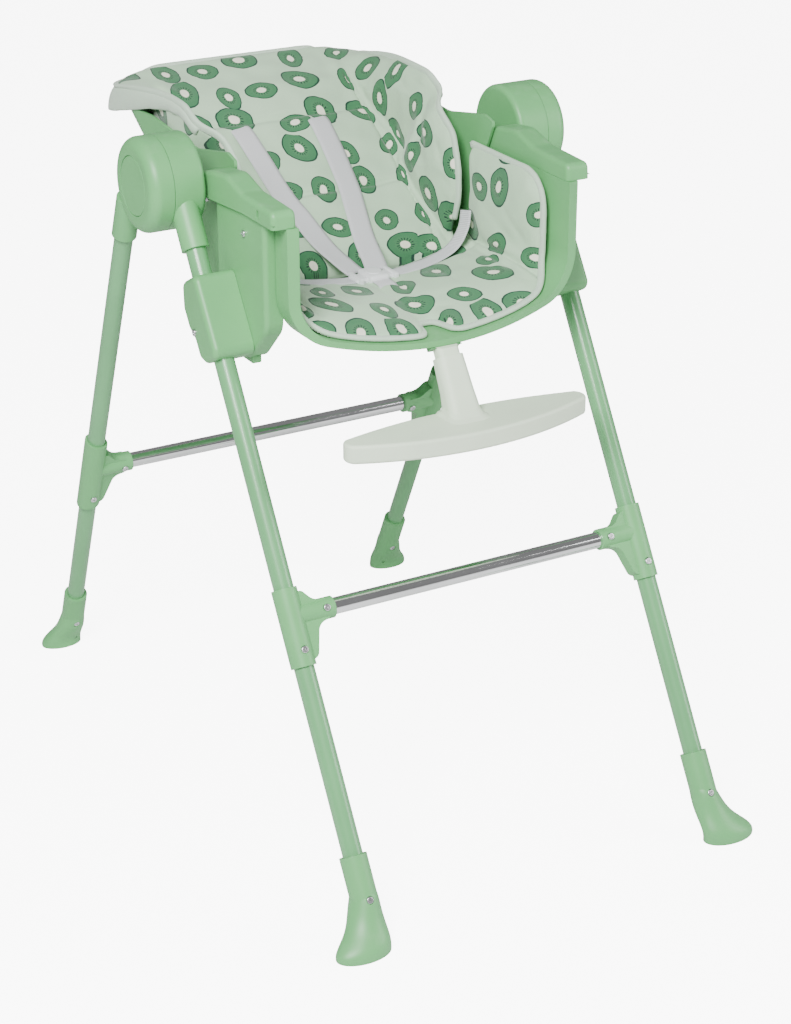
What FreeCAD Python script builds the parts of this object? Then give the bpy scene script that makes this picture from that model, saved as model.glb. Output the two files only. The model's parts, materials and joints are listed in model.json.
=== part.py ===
import FreeCAD, Part
import Sketcher
import math
import os

V = FreeCAD.Vector
doc = FreeCAD.newDocument("HighChair")

# ---------------------------------------------------------------- sizes
# Millimetres and degrees. X runs across the chair, the occupant faces -Y and
# +Z is up. "left" is the occupant's left, the +X side.
# Heights are above the floor; other Y values are measured from the hub axis.
SIZES = [
    ("hub_y", 63.29, "hub axis behind the frame's origin"),
    ("hub_height", 805.0, "hub axis above the floor"),
    ("front_leg_x", 247.0, "front leg axis from the mid plane"),
    ("front_leg_run", 487.0, "forward run of a front leg from hub height to the floor"),
    ("rear_leg_x", 281.0, "rear leg axis from the mid plane at hub height"),
    ("rear_leg_toe", 17.0, "inward run of a rear leg from hub height to the floor"),
    ("rear_leg_run", 362.2, "rearward run of a rear leg from hub height to the floor"),
    ("leg_offset", 32.5, "leg axis ahead of or behind the hub axis at hub height"),
    ("front_tube", 25.0, "front leg tube diameter"),
    ("rear_tube", 24.0, "rear leg tube diameter"),
    ("bar_tube", 21.0, "crossbar diameter"),
    ("tube_wall", 1.5, "wall of every tube"),
    ("fit", 0.05, "radial clearance of a fixed or running fit"),
    ("gap", 0.6, "clearance between moving housings"),
    ("hub_radius", 59.0, "hub drum radius"),
    ("hub_inside", 222.0, "inner face of the inner hub half from the mid plane"),
    ("hub_seam", 264.0, "seam between the hub halves from the mid plane"),
    ("hub_outside", 294.0, "outer face of the outer hub half from the mid plane"),
    ("hub_rounding", 14.0, "rounding of the outer hub rim"),
    ("hub_inner_rounding", 7.0, "rounding of the inner hub rim"),
    ("button_radius", 36.6, "hub button radius"),
    ("button_pocket", 14.0, "depth of the button pocket"),
    ("button_height", 8.0, "height of the hub button"),
    ("button_wall", 3.5, "thickness of the hub button"),
    ("axle_radius", 8.0, "hub axle radius"),
    ("front_socket_radius", 17.0, "front leg socket radius"),
    ("front_socket_drop", 78.0, "front leg socket end below hub height along the leg"),
    ("rear_socket_radius", 15.8, "rear leg socket radius"),
    ("rear_socket_drop", 90.0, "rear leg socket end below hub height along the leg"),
    ("front_tube_start", 30.0, "front tube end below hub height along the leg"),
    ("rear_tube_start", 58.0, "rear tube end below hub height along the leg"),
    ("joint_radius", 15.8, "crossbar joint sleeve radius"),
    ("boss_radius", 13.6, "crossbar joint boss radius"),
    ("boss_reach", 55.0, "crossbar joint boss reach from the leg axis"),
    ("front_bar_height", 348.0, "front crossbar height"),
    ("rear_bar_height", 338.0, "rear crossbar height"),
    ("front_sleeve_up", 34.0, "front joint sleeve above the bar"),
    ("front_sleeve_down", 62.0, "front joint sleeve below the bar"),
    ("rear_sleeve_up", 55.0, "rear joint sleeve above the bar"),
    ("rear_sleeve_down", 70.0, "rear joint sleeve below the bar"),
    ("foot_height", 98.0, "foot collar height"),
    ("front_foot_reach", 54.0, "outward reach of a front foot from the leg axis"),
    ("rear_foot_reach", 42.0, "outward reach of a rear foot from the leg axis"),
    ("foot_wall", 4.5, "wall of a foot's sleeve"),
    ("foot_toe", 9.0, "thickness of a foot's toe"),
    ("foot_sole", 15.0, "sole thickness under the tube"),
    ("screw_shank", 4.0, "screw shank diameter"),
    ("screw_head", 9.0, "screw head diameter"),
    ("seat_half", 190.0, "half width over the seat bucket"),
    ("seat_top", 798.0, "top of the seat side walls"),
    ("seat_bottom", 632.0, "underside of the seat pan"),
    ("seat_corner", 60.0, "corner radius of the bucket"),
    ("seat_belly", 570.0, "radius of the gently curved pan"),
    ("seat_wall", 4.0, "seat moulding wall"),
    ("seat_back", -16.0, "rear edge of the pan"),
    ("rim_half", 200.0, "half width over the front rim"),
    ("rim_back", -205.0, "rear face of the solid rim"),
    ("rim_side_front", -217.0, "front of the rim at the sides"),
    ("rim_mid_front", -250.0, "front of the rim at the middle"),
    ("skirt_back", -194.0, "rear edge of the rim's outer skirt"),
    ("side_out", 214.0, "outer face of the side housing"),
    ("side_back", -62.0, "rear edge of the side housing"),
    ("side_front", -192.0, "front edge of the side housing"),
    ("side_bottom", 612.0, "underside of the side housing"),
    ("pivot_pin", 5.0, "recline pin radius"),
    ("lever_travel", 4.0, "travel of the height buttons"),
    ("carriage_out", 267.0, "outer face of the carriage"),
    ("carriage_top", 112.0, "carriage top below hub height along the leg"),
    ("carriage_length", 103.0, "carriage length along the leg"),
    ("carriage_clear", 0.10, "radial running clearance of the carriage"),
    ("arm_in", 186.0, "inner face of the armrest"),
    ("arm_out", 218.0, "outer face of the armrest"),
    ("pivot_y", -15.0, "recline pivot"),
    ("pivot_height", 655.0, "recline pivot height"),
    ("recline", 57.0, "recline of the backrest from upright, as modelled"),
    ("shell_half", 184.0, "half width over the backrest shell"),
    ("shell_wall", 4.0, "backrest shell wall"),
    ("shell_length", 375.0, "backrest shell length from the pivot"),
    ("pad_thick", 20.0, "backrest pad thickness"),
    ("pad_length", 398.0, "backrest pad length from the pivot"),
    ("pad_half", 179.0, "half width over the backrest pad"),
    ("pad_low_half", 156.0, "half width of the backrest pad between the seat bolsters"),
    ("pad_wing", 16.0, "thickness of the pad's side wings"),
    ("seat_pad_half", 178.0, "half width over the seat pad"),
    ("seat_pad_thick", 17.0, "seat pad thickness"),
    ("seat_pad_lift", 1.5, "clearance under the seat pad"),
    ("strap_width", 25.0, "webbing width"),
    ("strap_thick", 2.0, "webbing thickness"),
    ("post_width", 30.0, "footrest post width"),
    ("post_depth", 20.0, "footrest post depth"),
    ("sleeve_length", 70.0, "footrest sleeve length above the plate"),
    ("post_y", -245.0, "footrest post at its top"),
    ("post_top", 628.0, "footrest post top"),
    ("plate_half", 168.0, "half width of the footrest plate"),
    ("plate_thick", 24.0, "footrest plate thickness"),
    ("plate_height", 552.0, "top of the footrest plate"),
    ("plate_front", -348.0, "front of the footrest plate"),
    ("plate_back", -272.0, "rear of the footrest plate"),
]
sheet = doc.addObject("Spreadsheet::Sheet", "Sizes")
for row, (alias, value, note) in enumerate(SIZES, 1):
    sheet.set("A%d" % row, note)
    sheet.set("B%d" % row, str(value))
    sheet.setAlias("B%d" % row, alias)
doc.recompute()
S = {alias: float(getattr(sheet, alias)) for alias, _, _ in SIZES}

X_AXIS, Y_AXIS, Z_AXIS = V(1, 0, 0), V(0, 1, 0), V(0, 0, 1)
NODES = []


# ---------------------------------------------------------------- helpers
def turn(axis, degrees):
    return FreeCAD.Rotation(axis, degrees)


def shift(x, y, z, rotation=None):
    return FreeCAD.Placement(V(x, y, z), rotation or FreeCAD.Rotation())


def new_body(label, placement=None, on_hub=True):
    """Body whose own frame is at the given place; node of the same name."""
    body = doc.addObject("PartDesign::Body", label)
    body.Label = label
    base = placement or shift(0, 0, 0)
    if on_hub:
        base = shift(0, S["hub_y"], 0) * base
    body.Placement = base
    if on_hub:
        body.setExpression(".Placement.Base.y", "Sizes.hub_y + %.6f" % (base.Base.y - S["hub_y"]))
    NODES.append(body)
    return body


def origin_plane(body, role):
    for feature in body.Origin.OriginFeatures:
        if feature.Role == role:
            return feature
    raise RuntimeError("no plane " + role)


def new_sketch(body, name, role="XY_Plane", offset=None):
    sketch = body.newObject("Sketcher::SketchObject", body.Name + "_" + name)
    sketch.AttachmentSupport = [(origin_plane(body, role), "")]
    sketch.MapMode = "FlatFace"
    if offset is not None:
        sketch.AttachmentOffset = offset
    return sketch


def bind(feature, prop, expression):
    feature.setExpression(prop, expression)


def circle(sketch, x, y, radius_expression, radius):
    """Circle with its radius bound to the sheet."""
    index = sketch.addGeometry(Part.Circle(V(x, y, 0), Z_AXIS, radius), False)
    row = sketch.addConstraint(Sketcher.Constraint("Radius", index, radius))
    sketch.setExpression("Constraints[%d]" % row, radius_expression)
    return index


def edges_to(sketch, edges):
    for edge in edges:
        sketch.addGeometry(edge, False)


def rounded(corners):
    """Closed outline through (x, y, radius) corners as lines and arcs."""
    points = []
    count = len(corners)
    for i, (x, y, radius) in enumerate(corners):
        here = V(x, y, 0)
        before = V(*corners[i - 1][:2], 0) - here
        after = V(*corners[(i + 1) % count][:2], 0) - here
        if radius <= 0:
            points.append((here, None, here))
            continue
        half = before.getAngle(after) / 2
        reach = min(radius / math.tan(half), 0.49 * before.Length, 0.49 * after.Length)
        radius = reach * math.tan(half)
        before.normalize()
        after.normalize()
        middle = (before + after).normalize()
        centre = here + middle * (radius / math.sin(half))
        points.append((here + before * reach, centre - middle * radius, here + after * reach))
    edges = []
    for i, (start, mid, end) in enumerate(points):
        if mid is not None:
            edges.append(Part.Arc(start, mid, end))
        following = points[(i + 1) % count][0]
        if end.distanceToPoint(following) > 1e-6:
            edges.append(Part.LineSegment(end, following))
    return edges


def pad(body, name, sketch, length, length_expression=None, reverse=False, both=False):
    feature = body.newObject("PartDesign::Pad", body.Name + "_" + name)
    feature.Profile = sketch
    feature.Length = length
    if length_expression:
        bind(feature, "Length", length_expression)
    feature.Reversed = reverse
    feature.Midplane = both
    body.Tip = feature
    doc.recompute()
    return feature


def pocket(body, name, sketch, length=None, reverse=False, both=False):
    before = body.Shape.Volume
    feature = body.newObject("PartDesign::Pocket", body.Name + "_" + name)
    feature.Profile = sketch
    if length is None:
        feature.Type = "ThroughAll"
    else:
        feature.Length = length
    feature.Reversed = reverse
    feature.Midplane = both
    body.Tip = feature
    doc.recompute()
    if feature.Shape.isNull() or feature.Shape.Volume > before - 1e-3:
        raise RuntimeError("%s cuts nothing" % feature.Name)
    return feature


def revolve(body, name, sketch, axis_name):
    feature = body.newObject("PartDesign::Revolution", body.Name + "_" + name)
    feature.Profile = sketch
    feature.ReferenceAxis = (sketch, [axis_name])
    feature.Angle = 360
    body.Tip = feature
    doc.recompute()
    return feature


def loft(body, name, sketches, ruled=False):
    feature = body.newObject("PartDesign::AdditiveLoft", body.Name + "_" + name)
    feature.Profile = sketches[0]
    feature.Sections = sketches[1:]
    feature.Ruled = ruled
    body.Tip = feature
    doc.recompute()
    return feature


def fillet(body, name, radius, wanted):
    """Round the edges of the body's tip that the test accepts."""
    base = body.Tip
    names = ["Edge%d" % (i + 1) for i, edge in enumerate(base.Shape.Edges) if wanted(edge)]
    if not names:
        raise RuntimeError("no edges for " + name)
    feature = body.newObject("PartDesign::Fillet", body.Name + "_" + name)
    feature.Base = (base, names)
    feature.Radius = radius
    body.Tip = feature
    doc.recompute()
    if "Invalid" in feature.State:
        raise RuntimeError(feature.Name + " failed")
    return feature


def mirror(body, label):
    """The same piece on the -X side."""
    copy = doc.addObject("Part::Mirroring", label)
    copy.Label = label
    copy.Source = body
    copy.Normal = X_AXIS
    NODES.append(copy)
    return copy


def feature_node(label, shape):
    """Group of identical loose solids, built in place."""
    node = doc.addObject("Part::Feature", label)
    node.Label = label
    node.Shape = shape
    node.Placement = shift(0, S["hub_y"], 0)
    NODES.append(node)
    return node


def mirrored_pair(shapes):
    return list(shapes) + [shape.mirror(V(0, 0, 0), X_AXIS) for shape in shapes]


OUT_FRONT = turn(X_AXIS, 90)
OUT_SIDE = turn(Y_AXIS, 90)
SCREWS = {}


def drill(body, name, place, depth, seat=False):
    """Clearance hole along -Z of the place, with a flat seat for the head."""
    local = body.Placement.inverse() * shift(0, S["hub_y"], 0) * place
    if seat:
        face = new_sketch(body, name + "_seat", offset=local)
        circle(face, 0, 0, "Sizes.screw_head / 2 + 0.3", S["screw_head"] / 2 + 0.3)
        pocket(body, name + "_seat_cut", face, 12, reverse=True)
    hole = new_sketch(body, name + "_hole", offset=local)
    circle(hole, 0, 0, "Sizes.screw_shank / 2 + Sizes.fit", S["screw_shank"] / 2 + S["fit"])
    pocket(body, name + "_hole_cut", hole, depth)


def put_screw(group, place, length):
    SCREWS.setdefault(group, []).append((place, length))


def screw_shape(place, length):
    """Pan head on the seat plane with its shank going in."""
    head, shank = S["screw_head"] / 2, S["screw_shank"] / 2
    edges = rounded([(0, 2.6, 0), (head, 2.6, 1.8), (head, 0.02, 0), (shank, 0.02, 0),
                     (shank, -length, 0.6), (0, -length, 0)])
    wire = Part.Wire(Part.__sortEdges__([edge.toShape() for edge in edges]))
    solid = Part.Face(wire).revolve(V(0, 0, 0), Y_AXIS, 360)
    drive = Part.makeBox(4.2, 1.2, 1.1, V(-2.1, 1.7, -0.6))
    cross = Part.makeBox(1.2, 1.2, 4.2, V(-0.6, 1.7, -2.1))
    solid = solid.cut(drive).cut(cross)
    solid.Placement = place * shift(0, 0, 0, turn(X_AXIS, 90))
    return solid


# ---------------------------------------------------------------- leg frames
# Each leg frame has its origin on the leg axis at hub height and +Z up the leg.
front_lean = math.degrees(math.atan2(S["front_leg_run"], S["hub_height"]))
front_length = math.hypot(S["front_leg_run"], S["hub_height"])
front_turn = turn(X_AXIS, -front_lean)
front_frame = shift(S["front_leg_x"], -S["leg_offset"], S["hub_height"], front_turn)

rear_lean = math.degrees(math.atan2(S["rear_leg_run"], S["hub_height"]))
rear_slope = math.hypot(S["rear_leg_run"], S["hub_height"])
rear_toe = math.degrees(math.atan2(S["rear_leg_toe"], rear_slope))
rear_length = math.hypot(rear_slope, S["rear_leg_toe"])
rear_plane_turn = turn(X_AXIS, rear_lean)
rear_turn = rear_plane_turn * turn(Y_AXIS, rear_toe)
rear_frame = shift(S["rear_leg_x"], S["leg_offset"], S["hub_height"], rear_turn)


def down_front(height):
    """Distance along a front leg from hub height to the given height."""
    return (S["hub_height"] - height) * front_length / S["hub_height"]


def down_rear(height):
    return (S["hub_height"] - height) * rear_length / S["hub_height"]


front_foot_screw = down_front(0.52 * S["foot_height"])
rear_foot_screw = down_rear(0.52 * S["foot_height"])
front_bar_down = down_front(S["front_bar_height"])
rear_bar_down = down_rear(S["rear_bar_height"])
front_sleeve_screw = front_bar_down + 0.68 * S["front_sleeve_down"]
rear_sleeve_screw = rear_bar_down + 0.68 * S["rear_sleeve_down"]


# ---------------------------------------------------------------- legs
def leg_tube(label, frame, diameter_name, start_name, end):
    body = new_body(label, frame)
    ring = new_sketch(body, "ring", offset=shift(0, 0, -S[start_name]))
    circle(ring, 0, 0, "Sizes.%s / 2" % diameter_name, S[diameter_name] / 2)
    circle(ring, 0, 0, "Sizes.%s / 2 - Sizes.tube_wall" % diameter_name,
           S[diameter_name] / 2 - S["tube_wall"])
    pad(body, "tube", ring, end - S[start_name], reverse=True)
    return body


front_leg = leg_tube("front_leg_left", front_frame, "front_tube", "front_tube_start",
                     down_front(S["foot_sole"]))
mirror(front_leg, "front_leg_right")
rear_leg = leg_tube("rear_leg_left", rear_frame, "rear_tube", "rear_tube_start",
                    down_rear(S["foot_sole"]))
mirror(rear_leg, "rear_leg_right")


# ---------------------------------------------------------------- feet
def ellipse(sketch, x, y, major, minor):
    if abs(major - minor) < 1e-6:
        sketch.addGeometry(Part.Circle(V(x, y, 0), Z_AXIS, major), False)
    elif major > minor:
        sketch.addGeometry(Part.Ellipse(V(x + major, y, 0), V(x, y + minor, 0), V(x, y, 0)), False)
    else:
        sketch.addGeometry(Part.Ellipse(V(x, y + minor, 0), V(x - major, y, 0), V(x, y, 0)), False)


def foot(label, leg_x, axis_y, run_sign, leg_radius, frame, end_down, collar_down, reach):
    """Boot: a sleeve round the tube whose lower half flares outward to a flat sole."""
    body = new_body(label, shift(leg_x, 0, 0))
    collar = leg_radius + S["foot_wall"]
    lean = (S["front_leg_run"] if run_sign < 0 else S["rear_leg_run"]) / S["hub_height"]
    toe = 0.0 if run_sign < 0 else S["rear_leg_toe"] / S["hub_height"]
    stretch = math.hypot(1.0, lean)
    sections = []
    for index, (height, share, spare) in enumerate((
            (0.0, 1.0, 0.6), (S["foot_toe"], 0.95, 0.8), (0.20 * S["foot_height"], 0.63, 1.0),
            (0.34 * S["foot_height"], 0.27, 1.0), (0.50 * S["foot_height"], 0.06, 0.6),
            (0.68 * S["foot_height"], 0.0, -1.2))):
        settle = min(1.0, height / (0.34 * S["foot_height"]))
        axis = axis_y - run_sign * lean * height * settle ** 2 * (3 - 2 * settle)
        outward = collar + spare + share * (reach - collar - spare)
        half_x = (outward + collar + spare) / 2
        sketch = new_sketch(body, "section%d" % index, offset=shift(0, 0, height))
        ellipse(sketch, outward - half_x + toe * height, axis, half_x, (collar + spare) * stretch)
        sections.append(sketch)
    loft(body, "boot", sections)
    local = body.Placement.inverse() * shift(0, S["hub_y"], 0) * frame
    ring = new_sketch(body, "ring", offset=local * shift(0, 0, -collar_down))
    ring.addGeometry(Part.Circle(V(0, 0, 0), Z_AXIS, collar), False)
    pad(body, "sleeve", ring, 0.62 * S["foot_height"], reverse=True)
    bore = new_sketch(body, "bore", offset=local * shift(0, 0, -end_down + S["foot_height"] * 2))
    bore.addGeometry(Part.Circle(V(0, 0, 0), Z_AXIS, leg_radius + S["fit"]), False)
    pocket(body, "bore_cut", bore, S["foot_height"] * 2)
    return body


front_foot = foot("front_foot_left", S["front_leg_x"], -S["leg_offset"] - S["front_leg_run"], -1,
                  S["front_tube"] / 2, front_frame, down_front(S["foot_sole"]),
                  down_front(S["foot_height"]), S["front_foot_reach"])
mirror(front_foot, "front_foot_right")
rear_foot = foot("rear_foot_left", S["rear_leg_x"] - S["rear_leg_toe"],
                 S["leg_offset"] + S["rear_leg_run"], 1,
                 S["rear_tube"] / 2, rear_frame, down_rear(S["foot_sole"]),
                 down_rear(S["foot_height"]), S["rear_foot_reach"])
mirror(rear_foot, "rear_foot_right")


# ---------------------------------------------------------------- hubs
def hub_profile(sketch, inside, outside, inner_round, outer_round):
    """Half section of a drum about the X axis."""
    edges_to(sketch, rounded([
        (inside, 0, 0), (outside, 0, 0), (outside, S["hub_radius"], outer_round),
        (inside, S["hub_radius"], inner_round)]))


def socket(body, frame, radius_name, drop_name, tube_name, start_name, begin):
    """Sleeve along the leg with the blind bore that takes the tube."""
    local = body.Placement.inverse() * shift(0, S["hub_y"], 0) * frame
    ring = new_sketch(body, "socket", offset=local * shift(0, 0, -begin))
    circle(ring, 0, 0, "Sizes." + radius_name, S[radius_name])
    pad(body, "socket_sleeve", ring, S[drop_name] - begin,
        "Sizes.%s - %.6f" % (drop_name, begin), reverse=True)
    bore = new_sketch(body, "tube_bore", offset=local * shift(0, 0, -S[start_name] + 0.5))
    circle(bore, 0, 0, "Sizes.%s / 2 + Sizes.fit" % tube_name, S[tube_name] / 2 + S["fit"])
    pocket(body, "tube_bore_cut", bore, S[drop_name])


hub_place = shift(0, 0, S["hub_height"])
hub_inner = new_body("hub_inner_left", hub_place)
profile = new_sketch(hub_inner, "profile")
hub_profile(profile, S["hub_inside"], S["hub_seam"] - S["gap"] / 2, S["hub_inner_rounding"], 0)
revolve(hub_inner, "drum", profile, "H_Axis")
socket(hub_inner, front_frame, "front_socket_radius", "front_socket_drop", "front_tube",
       "front_tube_start", 8.0)
axle_hole = new_sketch(hub_inner, "axle_hole", "YZ_Plane", shift(0, 0, S["hub_inside"] + 6))
circle(axle_hole, 0, 0, "Sizes.axle_radius + Sizes.fit", S["axle_radius"] + S["fit"])
pocket(hub_inner, "axle_bore", axle_hole, 60, reverse=True)
mirror(hub_inner, "hub_inner_right")

hub_outer = new_body("hub_outer_left", hub_place)
profile = new_sketch(hub_outer, "profile")
hub_profile(profile, S["hub_seam"] + S["gap"] / 2, S["hub_outside"], 0, S["hub_rounding"])
revolve(hub_outer, "drum", profile, "H_Axis")
socket(hub_outer, rear_frame, "rear_socket_radius", "rear_socket_drop", "rear_tube",
       "rear_tube_start", 30.0)
trim = new_sketch(hub_outer, "seam_trim", "YZ_Plane", shift(0, 0, S["hub_seam"] + S["gap"] / 2))
edges_to(trim, rounded([(-150, -150, 0), (150, -150, 0), (150, 150, 0), (-150, 150, 0)]))
pocket(hub_outer, "seam_trim_cut", trim, 60)
recess = new_sketch(hub_outer, "button_recess", "YZ_Plane", shift(0, 0, S["hub_outside"]))
circle(recess, 0, 0, "Sizes.button_radius + Sizes.gap", S["button_radius"] + S["gap"])
pocket(hub_outer, "button_recess_cut", recess, S["button_pocket"])
axle_hole = new_sketch(hub_outer, "axle_hole", "YZ_Plane", shift(0, 0, S["hub_outside"]))
circle(axle_hole, 0, 0, "Sizes.axle_radius + Sizes.fit", S["axle_radius"] + S["fit"])
pocket(hub_outer, "axle_bore", axle_hole, 60)
mirror(hub_outer, "hub_outer_right")

recess_floor = S["hub_outside"] - S["button_pocket"]
axle = new_body("hub_axle_left", hub_place)
profile = new_sketch(axle, "profile")
edges_to(profile, rounded([
    (S["hub_inside"] + 6, 0, 0), (recess_floor + 3, 0, 0),
    (recess_floor + 3, S["axle_radius"] + 5, 0.8), (recess_floor + S["fit"], S["axle_radius"] + 5, 0),
    (recess_floor + S["fit"], S["axle_radius"], 0), (S["hub_inside"] + 6, S["axle_radius"], 1.0)]))
revolve(axle, "pin", profile, "H_Axis")
mirror(axle, "hub_axle_right")

button = new_body("hub_button_left", hub_place)
profile = new_sketch(button, "profile")
button_in = S["hub_outside"] - S["button_height"]
edges_to(profile, rounded([
    (S["hub_outside"], 0, 0), (S["hub_outside"], S["button_radius"], 1.2),
    (button_in, S["button_radius"], 0), (button_in, S["button_radius"] - 3, 0),
    (S["hub_outside"] - S["button_wall"], S["button_radius"] - 3, 0),
    (S["hub_outside"] - S["button_wall"], 0, 0)]))
revolve(button, "cap", profile, "H_Axis")
mirror(button, "hub_button_right")


# ---------------------------------------------------------------- crossbars
def crossbar(label, y, z, half_length, plane_turn):
    body = new_body(label, shift(0, y, z, plane_turn))
    ring = new_sketch(body, "ring", "YZ_Plane")
    circle(ring, 0, 0, "Sizes.bar_tube / 2", S["bar_tube"] / 2)
    circle(ring, 0, 0, "Sizes.bar_tube / 2 - Sizes.tube_wall", S["bar_tube"] / 2 - S["tube_wall"])
    pad(body, "tube", ring, 2 * half_length, both=True)
    return body


def bar_joint(label, leg_point, plane_turn, toe, leg_radius, sleeve_up, sleeve_down, slant):
    """T connector: a sleeve on the leg and a boss on the bar, joined by a web."""
    body = new_body(label, shift(leg_point.x, leg_point.y, leg_point.z, plane_turn))
    tilt = turn(Y_AXIS, toe)
    sleeve = new_sketch(body, "sleeve", offset=shift(0, 0, 0, tilt) * shift(0, 0, sleeve_up))
    circle(sleeve, 0, 0, "Sizes.joint_radius", S["joint_radius"])
    pad(body, "sleeve_pad", sleeve, sleeve_up + sleeve_down, reverse=True)
    boss = new_sketch(body, "boss", "YZ_Plane")
    circle(boss, 0, 0, "Sizes.boss_radius", S["boss_radius"])
    pad(body, "boss_pad", boss, S["boss_reach"], "Sizes.boss_reach", reverse=True)
    web = new_sketch(body, "web", "XZ_Plane")
    low = -sleeve_down + 6
    high = min(sleeve_up - 4, S["boss_radius"] + 14)
    reach = S["boss_reach"]
    edges_to(web, rounded([
        (0, high, 0), (-S["joint_radius"] - 2, high, 8), (-0.55 * reach, S["boss_radius"] - 1, 20),
        (-0.85 * reach, S["boss_radius"] - 1, 4), (-0.85 * reach, -S["boss_radius"] + 1, 4),
        (-0.55 * reach, -S["boss_radius"] - 3, 26), (-S["joint_radius"] - 3, low, 10), (0, low, 0)]))
    pad(body, "web_pad", web, 1.25 * S["boss_radius"], "1.25 * Sizes.boss_radius", both=True)
    bore = new_sketch(body, "leg_bore", offset=shift(0, 0, 0, tilt) * shift(0, 0, 200))
    circle(bore, 0, 0, "%.6f + Sizes.fit" % leg_radius, leg_radius + S["fit"])
    pocket(body, "leg_bore_cut", bore, 500)
    bore = new_sketch(body, "bar_bore", "YZ_Plane", shift(0, 0, -leg_radius - 4.5))
    circle(bore, 0, 0, "Sizes.bar_tube / 2 + Sizes.fit", S["bar_tube"] / 2 + S["fit"])
    pocket(body, "bar_bore_cut", bore, 200)
    if slant:
        cut = new_sketch(body, "slant", "XZ_Plane")
        top = sleeve_up
        edges_to(cut, rounded([(-40, top - 2 * slant, 0), (40, top + slant, 0), (40, top + 90, 0),
                               (-40, top + 90, 0)]))
        pocket(body, "slant_cut", cut, 200, both=True)
        cut = new_sketch(body, "slant_low", "XZ_Plane")
        low = -sleeve_down
        edges_to(cut, rounded([(-40, low + 2 * slant, 0), (-40, low - 90, 0), (40, low - 90, 0),
                               (40, low - slant, 0)]))
        pocket(body, "slant_low_cut", cut, 200, both=True)
    return body


front_bar_y = -S["leg_offset"] - S["front_leg_run"] * (1 - S["front_bar_height"] / S["hub_height"])
front_bar_point = V(S["front_leg_x"], front_bar_y, S["front_bar_height"])
front_joint = bar_joint("front_joint_left", front_bar_point, front_turn, 0.0, S["front_tube"] / 2,
                        S["front_sleeve_up"], S["front_sleeve_down"], 0)
mirror(front_joint, "front_joint_right")
front_bar = crossbar("front_crossbar", front_bar_y, S["front_bar_height"],
                     S["front_leg_x"] - S["front_tube"] / 2 - 5, front_turn)

rear_drop = 1 - S["rear_bar_height"] / S["hub_height"]
rear_bar_y = S["leg_offset"] + S["rear_leg_run"] * rear_drop
rear_bar_x = S["rear_leg_x"] - S["rear_leg_toe"] * rear_drop
rear_joint = bar_joint("rear_joint_left", V(rear_bar_x, rear_bar_y, S["rear_bar_height"]),
                       rear_plane_turn, rear_toe, S["rear_tube"] / 2,
                       S["rear_sleeve_up"], S["rear_sleeve_down"], 5)
mirror(rear_joint, "rear_joint_right")
rear_bar = crossbar("rear_crossbar", rear_bar_y, S["rear_bar_height"],
                    rear_bar_x - S["rear_tube"] / 2 - 5, rear_plane_turn)


# ---------------------------------------------------------------- seat
def belly_edges(half, top, bottom, corner, belly):
    """Edges of a U outline from its top left, round the bottom, to its top right."""
    belly_centre = bottom + belly
    corner_x = half - corner
    corner_z = belly_centre - math.sqrt((belly - corner) ** 2 - corner_x ** 2)
    scale = belly / (belly - corner)
    touch = V(corner_x * scale, belly_centre + (corner_z - belly_centre) * scale, 0)
    angle = math.atan2(corner_z - belly_centre, corner_x)
    middle_angle = angle / 2
    mid = V(corner_x + corner * math.cos(middle_angle), corner_z + corner * math.sin(middle_angle), 0)

    def left(point):
        return V(-point.x, point.y, 0)
    start, side = V(half, top, 0), V(half, corner_z, 0)
    return [
        Part.LineSegment(left(start), left(side)),
        Part.Arc(left(side), left(mid), left(touch)),
        Part.Arc(left(touch), V(0, bottom, 0), touch),
        Part.Arc(touch, mid, side),
        Part.LineSegment(side, start),
    ]


def inset(outline, distance):
    """The (half width, bottom, corner, belly) outline moved inward."""
    half, bottom, corner, belly = outline
    return half - distance, bottom + distance, corner - distance, belly - distance


def u_strip(sketch, outer, inner, top):
    """Closed U between two outlines of half width, bottom, corner and belly."""
    for half, bottom, corner, belly in (outer, inner):
        edges_to(sketch, belly_edges(half, top, bottom, corner, belly))
    for sign in (-1, 1):
        edges_to(sketch, [Part.LineSegment(V(sign * inner[0], top, 0), V(sign * outer[0], top, 0))])


def xz_offset(y):
    """Sketch on the XZ plane moved to the given Y; its normal is -Y."""
    return shift(0, 0, -y)


bucket_outside = (S["seat_half"], S["seat_bottom"], S["seat_corner"], S["seat_belly"])
bucket_inside = inset(bucket_outside, S["seat_wall"])
rim_outside = (S["rim_half"],) + inset(bucket_outside, -4.0)[1:]
seat = new_body("seat_shell")
bucket = new_sketch(seat, "bucket", "XZ_Plane", xz_offset(S["seat_back"]))
u_strip(bucket, bucket_outside, bucket_inside, S["seat_top"])
pad(seat, "bucket_pad", bucket, S["seat_back"] - S["rim_back"], "Sizes.seat_back - Sizes.rim_back")
rim = new_sketch(seat, "rim", "XZ_Plane", xz_offset(S["rim_back"]))
u_strip(rim, rim_outside, bucket_inside, S["seat_top"])
pad(seat, "rim_pad", rim, S["rim_back"] - S["rim_mid_front"] + 2,
    "Sizes.rim_back - Sizes.rim_mid_front + 2")
skirt = new_sketch(seat, "skirt", "XZ_Plane", xz_offset(S["skirt_back"]))
u_strip(skirt, rim_outside, inset(rim_outside, S["seat_wall"] - 0.5), S["seat_top"])
pad(seat, "skirt_pad", skirt, S["skirt_back"] - S["rim_back"] + 1,
    "Sizes.skirt_back - Sizes.rim_back + 1")
bow = new_sketch(seat, "bow", "XY_Plane", shift(0, 0, S["seat_top"] + 40))
side_front, mid_front, wide = S["rim_side_front"], S["rim_mid_front"], S["rim_half"] + 30
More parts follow.
